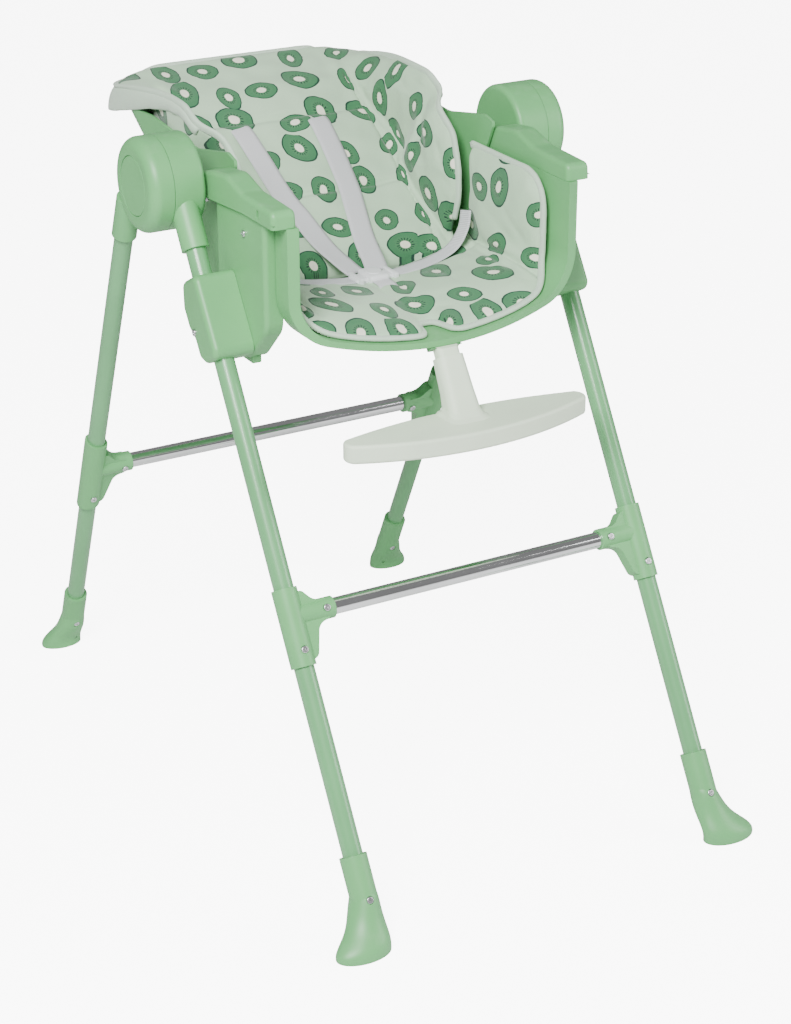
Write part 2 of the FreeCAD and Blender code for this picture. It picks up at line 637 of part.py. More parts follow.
edges_to(bow, [
    Part.Arc(V(-wide, side_front, 0), V(0, mid_front, 0), V(wide, side_front, 0)),
    Part.LineSegment(V(wide, side_front, 0), V(wide, mid_front - 40, 0)),
    Part.LineSegment(V(wide, mid_front - 40, 0), V(-wide, mid_front - 40, 0)),
    Part.LineSegment(V(-wide, mid_front - 40, 0), V(-wide, side_front, 0))])
pocket(seat, "bow_cut", bow)
for side, name in ((1, "near"), (-1, "far")):
    ear = new_sketch(seat, "ear_" + name, "YZ_Plane", shift(0, 0, side * S["seat_half"]))
    edges_to(ear, rounded([
        (S["pivot_y"] - 12, S["pivot_height"] - 12, 11), (S["pivot_y"] + 12, S["pivot_height"] - 12, 11),
        (S["pivot_y"] + 14, 722, 14), (34, 756, 20), (30, S["seat_top"], 6),
        (S["pivot_y"] - 12, S["seat_top"], 0)]))
    pad(seat, "ear_pad_" + name, ear, S["seat_wall"], "Sizes.seat_wall", reverse=side > 0)
pin_hole = new_sketch(seat, "pin_hole", "YZ_Plane", shift(0, 0, S["seat_half"] + 20))
circle(pin_hole, S["pivot_y"], S["pivot_height"], "Sizes.pivot_pin + Sizes.fit",
       S["pivot_pin"] + S["fit"])
pocket(seat, "pin_hole_cut", pin_hole)
CROTCH_Y = S["seat_back"] - 100
slot = new_sketch(seat, "strap_slot", "XY_Plane", shift(0, 0, S["seat_bottom"] + 60))
edges_to(slot, rounded([(-17, CROTCH_Y - 4, 2), (17, CROTCH_Y - 4, 2), (17, CROTCH_Y + 4, 2),
                        (-17, CROTCH_Y + 4, 2)]))
pocket(seat, "strap_slot_cut", slot, 120)
ear_screw = shift(S["seat_half"], 12, 772, OUT_SIDE)
put_screw("screws_seat", ear_screw, S["seat_wall"] - 0.4)
drill(seat, "ear_screw", ear_screw, S["seat_wall"] + 0.5)
drill(seat, "ear_screw_far", shift(-S["seat_half"], 12, 772, turn(Y_AXIS, -90)), S["seat_wall"] + 0.5)

# Side housing: the deep outer moulding between the bucket and the carriage.
side = new_body("side_housing_left")
outline = new_sketch(side, "outline", "YZ_Plane", shift(0, 0, S["seat_half"] + 0.3))
bottom = S["side_bottom"]
edges_to(outline, rounded([
    (S["side_back"], S["seat_top"], 0), (S["side_back"], bottom + 48, 30),
    (S["side_back"] - 38, bottom, 24), (S["side_front"] + 52, bottom, 40),
    (S["side_front"], bottom + 52, 30), (S["side_front"], S["seat_top"], 0)]))
pad(side, "block", outline, S["side_out"] - S["seat_half"] - 0.3,
    "Sizes.side_out - Sizes.seat_half - 0.3")
fillet(side, "edge_round", 6.0, lambda e: all(v.X > S["side_out"] - 0.1 for v in e.Vertexes)
       and e.BoundBox.ZMin < S["seat_top"] - 1)
button_y = (S["side_back"] + S["side_front"]) / 2
height_pocket = new_sketch(side, "button_pocket", "XY_Plane", shift(0, 0, bottom))
middle_x = (S["seat_half"] + S["side_out"]) / 2
edges_to(height_pocket, rounded([
    (middle_x - 7, button_y - 16, 3), (middle_x + 7, button_y - 16, 3),
    (middle_x + 7, button_y + 16, 3), (middle_x - 7, button_y + 16, 3)]))
pocket(side, "button_pocket_cut", height_pocket, S["lever_travel"] + 7, reverse=True)
side_screw = shift(S["side_out"], -140, 772, OUT_SIDE)
put_screw("screws_seat", side_screw, 12)
drill(side, "screw", side_screw, 14)
mirror(side, "side_housing_right")

height_button = new_body("height_button_left")
outline = new_sketch(height_button, "outline", "XY_Plane", shift(0, 0, bottom - 5))
edges_to(outline, rounded([
    (middle_x - 6.5, button_y - 15.5, 2.5), (middle_x + 6.5, button_y - 15.5, 2.5),
    (middle_x + 6.5, button_y + 15.5, 2.5), (middle_x - 6.5, button_y + 15.5, 2.5)]))
pad(height_button, "block", outline, 10)
fillet(height_button, "edge_round", 1.5, lambda e: e.BoundBox.ZMax < bottom - 4.9)
mirror(height_button, "height_button_right")

# Carriage: the block on the side housing that slides on the front leg.
carriage = new_body("carriage_left", front_frame)
outline = new_sketch(carriage, "outline", "YZ_Plane",
                     shift(0, 0, S["side_out"] + 0.3 - S["front_leg_x"]))
top = -S["carriage_top"]
low = top - S["carriage_length"]
edges_to(outline, rounded([
    (-21, top, 10), (22, top + 2, 12), (37, top - 26, 14), (36, top - 52, 14), (27, top - 70, 12),
    (26, low + 10, 12), (14, low, 8), (-24, low - 2, 12)]))
pad(carriage, "block", outline, S["carriage_out"] - S["side_out"] - 0.3,
    "Sizes.carriage_out - Sizes.side_out - 0.3")
fillet(carriage, "edge_round", 7.0, lambda e: all(
    v.X > S["carriage_out"] - S["front_leg_x"] - 0.1 for v in e.Vertexes))
bore = new_sketch(carriage, "bore", "XY_Plane", shift(0, 0, 0))
circle(bore, 0, 0, "Sizes.front_tube / 2 + Sizes.carriage_clear",
       S["front_tube"] / 2 + S["carriage_clear"])
pocket(carriage, "bore_cut", bore, 400)
carriage_screw = front_frame * shift(S["carriage_out"] - S["front_leg_x"], 18.5, top - 62, OUT_SIDE)
put_screw("screws_carriage", carriage_screw, 14)
drill(carriage, "screw", carriage_screw, 16)
mirror(carriage, "carriage_right")

# Armrest cap over the side wall, with the slot that takes a tray's latch.
arm = new_body("armrest_left")
seat_line = S["seat_top"] + 0.3
outline = new_sketch(arm, "outline", "YZ_Plane", shift(0, 0, S["arm_in"]))
front_y = S["rim_side_front"] - 7
edges_to(outline, rounded([
    (-12, seat_line, 0), (-13, 815, 7), (-60, 829, 50), (-99, 834, 30), (-142, 822, 30),
    (front_y + 2, 819, 9), (front_y, seat_line, 0)]))
pad(arm, "cap", outline, S["arm_out"] - S["arm_in"], "Sizes.arm_out - Sizes.arm_in")
fillet(arm, "edge_round", 6.0, lambda e: e.BoundBox.XLength < 0.01
       and e.BoundBox.ZMax > seat_line + 1 and e.BoundBox.ZMin > seat_line - 0.1)
skirt = new_sketch(arm, "skirt", "YZ_Plane", shift(0, 0, S["side_out"] + 0.5))
edges_to(skirt, rounded([(-12, 789, 3), (-12, seat_line + 6, 0), (front_y, seat_line + 6, 0),
                         (front_y, 804, 0)]))
pad(arm, "skirt_pad", skirt, S["arm_out"] - S["side_out"] - 0.5,
    "Sizes.arm_out - Sizes.side_out - 0.5")
latch = new_sketch(arm, "latch", "YZ_Plane", shift(0, 0, S["arm_out"]))
edges_to(latch, rounded([(-188, 803, 1), (-182, 803, 1), (-182, 813, 1), (-188, 813, 1)]))
pocket(arm, "latch_cut", latch, 9)
mirror(arm, "armrest_right")


# ---------------------------------------------------------------- backrest
# Backrest frame: origin on the recline pivot, +Z up the backrest, -Y out of its front.
recline_turn = turn(X_AXIS, -S["recline"])
back_frame = shift(0, S["pivot_y"], S["pivot_height"], recline_turn)
shell_front = S["pad_thick"] + 1.0
shell_rear = shell_front + S["shell_wall"]
shell_inner_corner = 24.0
wing_depth = 172.0
shell = new_body("backrest_shell", back_frame)
section = new_sketch(shell, "section")
half, wall = S["shell_half"], S["shell_wall"]
edges_to(section, rounded([
    (-half, -wing_depth, 0), (-half, shell_rear, shell_inner_corner + wall),
    (half, shell_rear, shell_inner_corner + wall), (half, -wing_depth, 0),
    (half - wall, -wing_depth, 0), (half - wall, shell_front, shell_inner_corner),
    (-half + wall, shell_front, shell_inner_corner), (-half + wall, -wing_depth, 0)]))
pad(shell, "channel", section, S["shell_length"], "Sizes.shell_length")
low_cut = new_sketch(shell, "low_cut", "YZ_Plane")
edges_to(low_cut, rounded([
    (9, -20, 0), (9, 18, 10), (-10, 38, 20), (-168, 60, 6), (-172, 64, 0), (-300, 64, 0),
    (-300, -20, 0)]))
pocket(shell, "low_cut_cut", low_cut, 500, both=True)
top_cut = new_sketch(shell, "top_cut", "YZ_Plane")
length = S["shell_length"]
edges_to(top_cut, rounded([
    (-300, 65, 0), (-172, 65, 0), (-166, 84, 14), (-102, 151, 60), (-38, 268, 70),
    (shell_front - 10, length - 38, 30), (shell_front - 2, length + 5, 0),
    (shell_front - 2, length + 90, 0), (-300, length + 90, 0)]))
pocket(shell, "top_cut_cut", top_cut, 500, both=True)
round_top = 62.0
corner = new_sketch(shell, "corners", "XZ_Plane")
for sign in (-1, 1):
    inner, outer = sign * (half - round_top), sign * half
    bend = round_top * math.sqrt(0.5)
    edges_to(corner, [
        Part.Arc(V(inner, length, 0), V(inner + sign * bend, length - round_top + bend, 0),
                 V(outer, length - round_top, 0)),
        Part.LineSegment(V(outer, length - round_top, 0), V(sign * (half + 20), length - round_top, 0)),
        Part.LineSegment(V(sign * (half + 20), length - round_top, 0), V(sign * (half + 20), length + 20, 0)),
        Part.LineSegment(V(sign * (half + 20), length + 20, 0), V(inner, length + 20, 0)),
        Part.LineSegment(V(inner, length + 20, 0), V(inner, length, 0))])
pocket(shell, "corners_cut", corner, 800, both=True)
for side_sign, name in ((1, "near"), (-1, "far")):
    lug = new_sketch(shell, "lug_" + name, "YZ_Plane", shift(0, 0, side_sign * half))
    edges_to(lug, rounded([(-9, -9, 8.5), (9, -9, 8.5), (14, 6, 4), (14, 44, 0), (-5, 44, 0), (-7, 8, 4)]))
    pad(shell, "lug_pad_" + name, lug, wall, "Sizes.shell_wall", reverse=side_sign > 0)
pin_hole = new_sketch(shell, "pin_hole", "YZ_Plane", shift(0, 0, half + 20))
circle(pin_hole, 0, 0, "Sizes.pivot_pin + Sizes.fit", S["pivot_pin"] + S["fit"])
pocket(shell, "pin_hole_cut", pin_hole)
handle_low, handle_high = length - 105, length - 60
window = new_sketch(shell, "handle_window", "XZ_Plane")
edges_to(window, rounded([(-38, handle_low, 6), (38, handle_low, 6), (38, handle_high, 6),
                          (-38, handle_high, 6)]))
pocket(shell, "handle_window_cut", window, 100, both=True)

pin = new_body("recline_pin_left", shift(0, S["pivot_y"], S["pivot_height"]))
profile = new_sketch(pin, "profile")
edges_to(profile, rounded([
    (half - wall - 0.9, 0, 0), (S["seat_half"] + 3, 0, 0), (S["seat_half"] + 3, 8, 1.2),
    (S["seat_half"] + 0.05, 8, 0), (S["seat_half"] + 0.05, S["pivot_pin"], 0),
    (half - wall - 0.9, S["pivot_pin"], 0.6)]))
revolve(pin, "turned", profile, "H_Axis")
mirror(pin, "recline_pin_right")

# Recline lever: squeezed up the back of the shell to free the backrest.
lever = new_body("recline_lever", back_frame)
outline = new_sketch(lever, "outline", "XZ_Plane", xz_offset(shell_front + 0.6))
edges_to(outline, rounded([(-36, handle_low + 2, 5), (36, handle_low + 2, 5),
                           (36, handle_high - 10, 5), (-36, handle_high - 10, 5)]))
pad(lever, "plate", outline, 10, reverse=True)
grip = new_sketch(lever, "grip", "XZ_Plane", xz_offset(shell_rear + 6.0))
edges_to(grip, rounded([(-26, handle_low + 8, 6), (26, handle_low + 8, 6),
                        (26, handle_high - 18, 6), (-26, handle_high - 18, 6)]))
pocket(lever, "grip_cut", grip, 4)

# Backrest pad: a back panel, two raised wings and a hood folded over the shell.
back_pad = new_body("backrest_pad", back_frame)
thick = S["pad_thick"]
panel = new_sketch(back_pad, "panel", "XZ_Plane", xz_offset(thick))
low_half, high_half, pad_top = S["pad_low_half"], S["pad_half"], S["pad_length"]
edges_to(panel, rounded([
    (-low_half, 2, 10), (low_half, 2, 10), (low_half, 142, 20), (high_half, 176, 20),
    (high_half, pad_top, 64), (-high_half, pad_top, 64), (-high_half, 176, 20), (-low_half, 142, 20)]))
pad(back_pad, "panel_pad", panel, thick, "Sizes.pad_thick")
wing = S["pad_wing"]
wings = new_sketch(back_pad, "wings", "XZ_Plane", xz_offset(thick))
for sign in (-1, 1):
    edges_to(wings, rounded([
        (sign * (low_half - 0.01), 30, 4), (sign * (low_half - 0.01), 142, 20),
        (sign * (high_half - 0.01), 176, 20), (sign * (high_half - 0.01), pad_top - 66, 4),
        (sign * (high_half - wing), pad_top - 66, 4), (sign * (high_half - wing), 170, 20),
        (sign * (low_half - wing), 136, 20), (sign * (low_half - wing), 30, 4)]))
pad(back_pad, "wings_pad", wings, thick + 126)
profile = new_sketch(back_pad, "wing_profile", "YZ_Plane")
edges_to(profile, rounded([
    (0, pad_top - 30, 0), (-22, pad_top - 66, 20), (-76, 277, 60), (-114, 208, 40), (-125, 95, 30),
    (-62, 38, 30), (0, 24, 0), (0, -30, 0), (-300, -30, 0), (-300, pad_top + 30, 0),
    (0, pad_top + 30, 0)]))
pocket(back_pad, "wing_profile_cut", profile, 600, both=True)
hood = new_sketch(back_pad, "hood", "YZ_Plane")
edges_to(hood, rounded([
    (thick - 1, length + 2, 0), (shell_rear + 1.5, length + 2, 0), (shell_rear + 1.5, length - 50, 0),
    (shell_rear + 6.5, length - 50, 2), (shell_rear + 6.5, pad_top, 9), (thick - 1, pad_top, 0)]))
pad(back_pad, "hood_pad", hood, 220, both=True)
rear_corners = new_sketch(back_pad, "rear_corners")
bend = shell_inner_corner - 0.4
for sign in (-1, 1):
    middle_x, middle_y = sign * (half - wall - shell_inner_corner), shell_front - shell_inner_corner
    reach = bend * math.sqrt(0.5)
    edges_to(rear_corners, [
        Part.Arc(V(middle_x, middle_y + bend, 0), V(middle_x + sign * reach, middle_y + reach, 0),
                 V(middle_x + sign * bend, middle_y, 0)),
        Part.LineSegment(V(middle_x + sign * bend, middle_y, 0), V(sign * (half + 20), middle_y, 0)),
        Part.LineSegment(V(sign * (half + 20), middle_y, 0), V(sign * (half + 20), middle_y + bend, 0)),
        Part.LineSegment(V(sign * (half + 20), middle_y + bend, 0), V(middle_x, middle_y + bend, 0))])
pocket(back_pad, "rear_corners_cut", rear_corners, 1200, both=True)

# ---------------------------------------------------------------- seat pad
seat_pad = new_body("seat_pad")
liner = new_sketch(seat_pad, "liner", "XZ_Plane", xz_offset(S["seat_back"] - 1))
pad_base = bucket_inside[1] + S["seat_pad_lift"]
pad_outside = (S["seat_pad_half"], pad_base, bucket_inside[2] + S["seat_pad_half"] - bucket_inside[0],
               bucket_inside[3])
u_strip(liner, pad_outside, inset(pad_outside, S["seat_pad_thick"]), S["seat_top"] - 1)
pad(seat_pad, "liner_pad", liner, S["seat_back"] - 1 - S["rim_mid_front"])
front_cut = new_sketch(seat_pad, "front_cut", "YZ_Plane")
edges_to(front_cut, rounded([
    (-150, 830, 0), (-164, S["seat_top"] - 1, 20), (-190, 772, 24), (-190, 694, 30),
    (S["rim_mid_front"] + 1, 668, 10), (S["rim_mid_front"] - 2, 600, 0), (-400, 600, 0),
    (-400, 830, 0)]))
pocket(seat_pad, "front_cut_cut", front_cut, 600, both=True)
lobes = new_sketch(seat_pad, "lobes", "XY_Plane", shift(0, 0, 760))
edges_to(lobes, [
    Part.Arc(V(-230, S["rim_side_front"] + 6, 0), V(0, S["rim_mid_front"] + 2, 0),
             V(230, S["rim_side_front"] + 6, 0)),
    Part.LineSegment(V(230, S["rim_side_front"] + 6, 0), V(230, -330, 0)),
    Part.LineSegment(V(230, -330, 0), V(-230, -330, 0)),
    Part.LineSegment(V(-230, -330, 0), V(-230, S["rim_side_front"] + 6, 0))])
pocket(seat_pad, "lobes_cut", lobes)
notch = new_sketch(seat_pad, "notch", "XY_Plane", shift(0, 0, 760))
edges_to(notch, rounded([(-26, -300, 0), (-18, -196, 16), (18, -196, 16), (26, -300, 0)]))
pocket(seat_pad, "notch_cut", notch)
slot = new_sketch(seat_pad, "strap_slot", "XY_Plane", shift(0, 0, 760))
edges_to(slot, rounded([(-16, CROTCH_Y - 5, 2), (16, CROTCH_Y - 5, 2), (16, CROTCH_Y + 5, 2),
                        (-16, CROTCH_Y + 5, 2)]))
pocket(seat_pad, "strap_slot_cut", slot)

# ---------------------------------------------------------------- footrest
# Post frame: the post runs parallel to the front legs.
post_place = shift(0, S["post_y"], S["post_top"])
post_frame = post_place * shift(0, 0, 0, front_turn)


def round_rect(width, depth, radius):
    return rounded([(-width / 2, -depth / 2, radius), (width / 2, -depth / 2, radius),
                    (width / 2, depth / 2, radius), (-width / 2, depth / 2, radius)])


post_socket = new_body("footrest_socket", post_place)
block = new_sketch(post_socket, "block", offset=shift(0, 0, 0, front_turn) * shift(0, 0, -4))
edges_to(block, round_rect(S["post_width"] + 12, S["post_depth"] + 10, 9))
pad(post_socket, "block_pad", block, 40)
flat = new_sketch(post_socket, "flat", offset=shift(0, 0, -0.3))
edges_to(flat, rounded([(-60, -90, 0), (60, -90, 0), (60, 90, 0), (-60, 90, 0)]))
pocket(post_socket, "flat_cut", flat, 90, reverse=True)
bore = new_sketch(post_socket, "bore", offset=shift(0, 0, 0, front_turn) * shift(0, 0, 40))
edges_to(bore, round_rect(S["post_width"] + 0.1, S["post_depth"] + 0.1, 7.05))
pocket(post_socket, "bore_cut", bore, 120)

post = new_body("footrest_post", post_place)
block = new_sketch(post, "block", offset=shift(0, 0, 0, front_turn) * shift(0, 0, -90))
edges_to(block, round_rect(S["post_width"], S["post_depth"], 7))
pad(post, "block_pad", block, 120)
flat = new_sketch(post, "flat", offset=shift(0, 0, -0.3))
edges_to(flat, rounded([(-60, -90, 0), (60, -90, 0), (60, 90, 0), (-60, 90, 0)]))
pocket(post, "flat_cut", flat, 90, reverse=True)

footrest = new_body("footrest", shift(0, 0, 0))
plate = new_sketch(footrest, "plate", offset=shift(0, 0, S["plate_height"]))
tip = S["plate_half"]
tip_front, tip_back = S["plate_front"] + 34, S["plate_back"] - 16
tip_y = (tip_front + tip_back) / 2
edges_to(plate, [
    Part.Arc(V(-tip + 7, tip_front, 0), V(0, S["plate_front"], 0), V(tip - 7, tip_front, 0)),
    Part.Arc(V(tip - 7, tip_front, 0), V(tip, tip_y, 0), V(tip - 7, tip_back, 0)),
    Part.Arc(V(tip - 7, tip_back, 0), V(0, S["plate_back"] + 4, 0), V(-tip + 7, tip_back, 0)),
    Part.Arc(V(-tip + 7, tip_back, 0), V(-tip, tip_y, 0), V(-tip + 7, tip_front, 0))])
pad(footrest, "plate_pad", plate, S["plate_thick"], "Sizes.plate_thick", reverse=True)
fillet(footrest, "plate_round", 4.0, lambda e: e.BoundBox.ZLength < 0.01)
sleeve_top = 16.0
slope = S["front_leg_run"] / S["hub_height"]
stretch = math.hypot(1.0, slope)
plate_down = (S["post_top"] - S["plate_height"]) * stretch
sections = []
for index, (down, width, depth) in enumerate((
        (sleeve_top, S["post_width"] + 7, S["post_depth"] + 7),
        (plate_down - 30, S["post_width"] + 10, S["post_depth"] + 9))):
    step = new_sketch(footrest, "sleeve%d" % index, offset=post_frame * shift(0, 0, -down))
    edges_to(step, round_rect(width, depth, 11))
    sections.append(step)
for index, (above, width, depth) in enumerate((
        (9.0, S["post_width"] + 13, S["post_depth"] + 11),
        (3.0, S["post_width"] + 18, S["post_depth"] + 16),
        (0.4, S["post_width"] + 26, S["post_depth"] + 24),
        (-4.0, S["post_width"] + 32, S["post_depth"] + 30))):
    height = S["plate_height"] + above
    place = shift(0, S["post_y"] - (S["post_top"] - height) * slope, height)
    step = new_sketch(footrest, "flare%d" % index, offset=place)
    edges_to(step, round_rect(width, depth * stretch, 11 + width / 8 - 4))
    sections.append(step)
loft(footrest, "sleeve_loft", sections, ruled=True)
bore = new_sketch(footrest, "bore", offset=post_frame * shift(0, 0, 60))
edges_to(bore, round_rect(S["post_width"] + 0.1, S["post_depth"] + 0.1, 7.05))
pocket(footrest, "bore_cut", bore, 60 + plate_down + 9)

# ---------------------------------------------------------------- harness
pad_top_z = pad_base + S["seat_pad_thick"]
strap, web_thick = S["strap_width"], S["strap_thick"]
buckle_y, buckle_z = S["seat_back"] - 52, pad_top_z + 1.2


def box_body(label, frame, width, length_y, height, radius=0.8):
    """Plain block centred on its frame in X and Y and standing on it."""
    body = new_body(label, frame)
    block = new_sketch(body, "block")
    edges_to(block, round_rect(width, length_y, radius))
    pad(body, "block_pad", block, height)
    return body


buckle = box_body("buckle", shift(0, buckle_y, buckle_z), 62, 40, 13, 9)
well = new_sketch(buckle, "well", offset=shift(0, 0, 13))
circle(well, 0, 0, "10.5", 10.5)
pocket(buckle, "well_cut", well, 7)
fillet(buckle, "round", 1.5, lambda e: e.BoundBox.ZMin > 12.9 and e.BoundBox.XLength > 21.5)
buckle_button = new_body("buckle_button", shift(0, buckle_y, buckle_z))
disc = new_sketch(buckle_button, "disc", offset=shift(0, 0, 9))
circle(disc, 0, 0, "10.0", 10.0)
pad(buckle_button, "disc_pad", disc, 5)

crotch = new_body("crotch_strap")
path = new_sketch(crotch, "path", "YZ_Plane")
strap_low = S["seat_bottom"] - 2
edges_to(path, rounded([
    (CROTCH_Y - 1, strap_low, 0), (CROTCH_Y + 1, strap_low, 0),
    (CROTCH_Y + 1, pad_top_z + 1.0, 0.8), (buckle_y - 20.5, pad_top_z + 1.6, 0),
    (buckle_y - 20.5, pad_top_z + 3.6, 0), (CROTCH_Y - 1, pad_top_z + 3.2, 2.2)]))
pad(crotch, "web", path, strap, "Sizes.strap_width", both=True)
box_body("crotch_anchor", shift(0, CROTCH_Y, strap_low - 5.2), 44, 12, 5, 3)

waist = new_body("waist_strap_left", shift(31.5, buckle_y, buckle_z + 3, turn(Y_AXIS, -9)))
path = new_sketch(waist, "path")
edges_to(path, rounded([(0.5, -strap / 2, 1), (108, -strap / 2 + 14, 2), (108, strap / 2 + 14, 2),
                        (0.5, strap / 2, 1)]))
pad(waist, "web", path, web_thick, "Sizes.strap_thick")
mirror(waist, "waist_strap_right")

shoulder = new_body("shoulder_strap_left", back_frame)
path = new_sketch(shoulder, "path", "XZ_Plane", xz_offset(-0.4))
edges_to(path, rounded([(30, 22, 2), (30 + strap, 22, 2), (44 + strap, 262, 2), (44, 262, 2)]))
pad(shoulder, "web", path, web_thick, "Sizes.strap_thick")
mirror(shoulder, "shoulder_strap_right")

# ---------------------------------------------------------------- screws
sleeve_flat = S["joint_radius"] - 0.8
boss_flat = S["boss_radius"] - 0.8
front_sleeve_place = front_frame * shift(0, -sleeve_flat, -front_sleeve_screw, OUT_FRONT)
rear_sleeve_place = rear_frame * shift(0, -sleeve_flat, -rear_sleeve_screw, OUT_FRONT)
front_boss_place = (shift(S["front_leg_x"], front_bar_y, S["front_bar_height"], front_turn)
                    * shift(-0.78 * S["boss_reach"], -boss_flat, 0, OUT_FRONT))
rear_boss_place = (shift(rear_bar_x, rear_bar_y, S["rear_bar_height"], rear_plane_turn)
                   * shift(-0.78 * S["boss_reach"], -boss_flat, 0, OUT_FRONT))
front_foot_place = front_frame * shift(0, -15.0, -front_foot_screw, OUT_FRONT)
rear_foot_place = rear_frame * shift(0, -14.6, -rear_foot_screw, OUT_FRONT)
for group, joint, tube, bar, sleeve_place, boss_place, boot, boot_place in (
        ("screws_front", front_joint, front_leg, front_bar, front_sleeve_place, front_boss_place,
         front_foot, front_foot_place),
        ("screws_rear", rear_joint, rear_leg, rear_bar, rear_sleeve_place, rear_boss_place,
         rear_foot, rear_foot_place)):
    drill(joint, "sleeve_screw", sleeve_place, 5, seat=True)
    drill(tube, "sleeve_screw", sleeve_place, 8)
    drill(joint, "boss_screw", boss_place, 5, seat=True)
    drill(bar, "boss_screw", boss_place, 8)
    base, out = boss_place.Base, boss_place.Rotation
    drill(bar, "boss_screw_far", FreeCAD.Placement(V(-base.x, base.y, base.z), out), 8)
    drill(boot, "screw", boot_place, 8, seat=True)
    drill(tube, "foot_screw", boot_place, 8)
    for place in (sleeve_place, boss_place, boot_place):
        put_screw(group, place, 7)
doc.recompute()
for group, places in SCREWS.items():
    made = mirrored_pair([screw_shape(place, length) for place, length in places])
    feature_node(group, Part.Compound(made))


# ---------------------------------------------------------------- write
def check_and_write():
    doc.recompute()
    for item in doc.Objects:
        if "Invalid" in item.State or "Error" in item.State:
            raise RuntimeError("%s is %s" % (item.Label, item.State))
    for node in NODES:
        if node.Shape.isNull() or not node.Shape.isValid() or not node.Shape.Solids:
            raise RuntimeError(node.Label + " has no valid solid")
    os.makedirs("parts", exist_ok=True)
    for node in NODES:
        node.Shape.exportStep("parts/%s.step" % node.Label)
    box = FreeCAD.BoundBox()
    for node in NODES:
        box.add(node.Shape.BoundBox)
    print("%d nodes, box %s" % (len(NODES), box))


check_and_write()
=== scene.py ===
"""Baby high chair: fabric, harness, finishes, lights and camera around the fixed frame."""

import json
import math

import bmesh
import bpy
import numpy as np
from bpy.props import FloatProperty, FloatVectorProperty, PointerProperty
from bpy.types import Operator, Panel, PropertyGroup
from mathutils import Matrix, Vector
from mathutils.bvhtree import BVHTree


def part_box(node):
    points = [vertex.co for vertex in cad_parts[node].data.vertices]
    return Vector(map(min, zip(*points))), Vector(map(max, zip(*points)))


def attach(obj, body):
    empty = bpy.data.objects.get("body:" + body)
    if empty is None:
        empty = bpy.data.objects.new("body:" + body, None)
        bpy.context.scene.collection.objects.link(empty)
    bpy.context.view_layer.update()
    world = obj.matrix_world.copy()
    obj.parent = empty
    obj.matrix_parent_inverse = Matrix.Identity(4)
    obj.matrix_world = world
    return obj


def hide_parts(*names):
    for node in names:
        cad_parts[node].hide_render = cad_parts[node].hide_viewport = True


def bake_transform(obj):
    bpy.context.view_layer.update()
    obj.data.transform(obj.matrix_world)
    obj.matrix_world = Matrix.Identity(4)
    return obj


bl_info = {
    "name": "High Chair Looks",
    "version": (1, 0, 0),
    "blender": (4, 5, 0),
    "location": "View3D > Sidebar > High Chair",
    "description": "Padded seat, harness, finishes and studio for a baby high chair",
    "category": "Object",
}

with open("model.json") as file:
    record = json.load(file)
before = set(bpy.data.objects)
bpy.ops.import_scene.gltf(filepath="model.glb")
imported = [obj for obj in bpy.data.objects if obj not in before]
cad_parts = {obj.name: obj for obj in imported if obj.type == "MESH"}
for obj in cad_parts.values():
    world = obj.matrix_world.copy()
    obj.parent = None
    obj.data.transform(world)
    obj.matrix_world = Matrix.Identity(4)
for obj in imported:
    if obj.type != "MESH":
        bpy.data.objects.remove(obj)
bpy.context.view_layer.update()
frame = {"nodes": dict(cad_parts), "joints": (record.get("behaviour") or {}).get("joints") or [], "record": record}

# ------------------------------------------------------------------ places
JOINTS = {joint["name"]: joint for joint in frame["joints"]}
HUB = Vector(JOINTS["frame_fold"]["pos_m"])
PIVOT = Vector(JOINTS["backrest_recline"]["pos_m"])
BACK_UP = Vector(JOINTS["recline_lever_pull"]["axis"]).normalized()
BACK_OUT = Vector((0.0, -BACK_UP.z, BACK_UP.y))
MM = 0.001


def back_point(x, along, out):
    """Point on the backrest: sideways, up from the pivot and out of its front, in metres."""
    return PIVOT + Vector((x, 0, 0)) + BACK_UP * along + BACK_OUT * out


def smooth(value, low, high):
    """0 below low, 1 above high, eased between."""
    share = np.clip((np.asarray(value, float) - low) / (high - low), 0, 1)
    return share * share * (3 - 2 * share)


# ------------------------------------------------------------------ settings
class HighChairFabric(PropertyGroup):
    """Sizes of the padded pieces and their trim."""

    voxel: FloatProperty(name="Voxel", description="Remesh size of the pads before they are filled",
                         default=0.0052, min=0.003, unit="LENGTH")
    pressure: FloatProperty(name="Pressure", description="Filling pressure of the pads", default=4.0)
    swell: FloatProperty(name="Swell", description="Largest move of a pad's surface as it fills",
                         default=0.008, unit="LENGTH")
    binding: FloatProperty(name="Binding", description="Width of the bound edges", default=0.0105,
                           unit="LENGTH")
    stitch: FloatProperty(name="Stitch", description="Spacing of the stitches", default=0.0042,
                          unit="LENGTH")
    webbing: FloatProperty(name="Webbing", description="Width of the harness webbing", default=0.025,
                           unit="LENGTH")
    print_cell: FloatProperty(name="Print cell", description="Spacing of the printed ovals",
                              default=0.061, unit="LENGTH")
    cloth: FloatVectorProperty(name="Cloth", description="Ground colour of the print", subtype="COLOR",
                               default=(0.44, 0.62, 0.43))
    flesh: FloatVectorProperty(name="Slice", description="Colour of the printed slices", subtype="COLOR",
                               default=(0.045, 0.175, 0.075))
    lining: FloatVectorProperty(name="Lining", description="Colour of the binding and lining",
                                subtype="COLOR", default=(0.50, 0.64, 0.50))


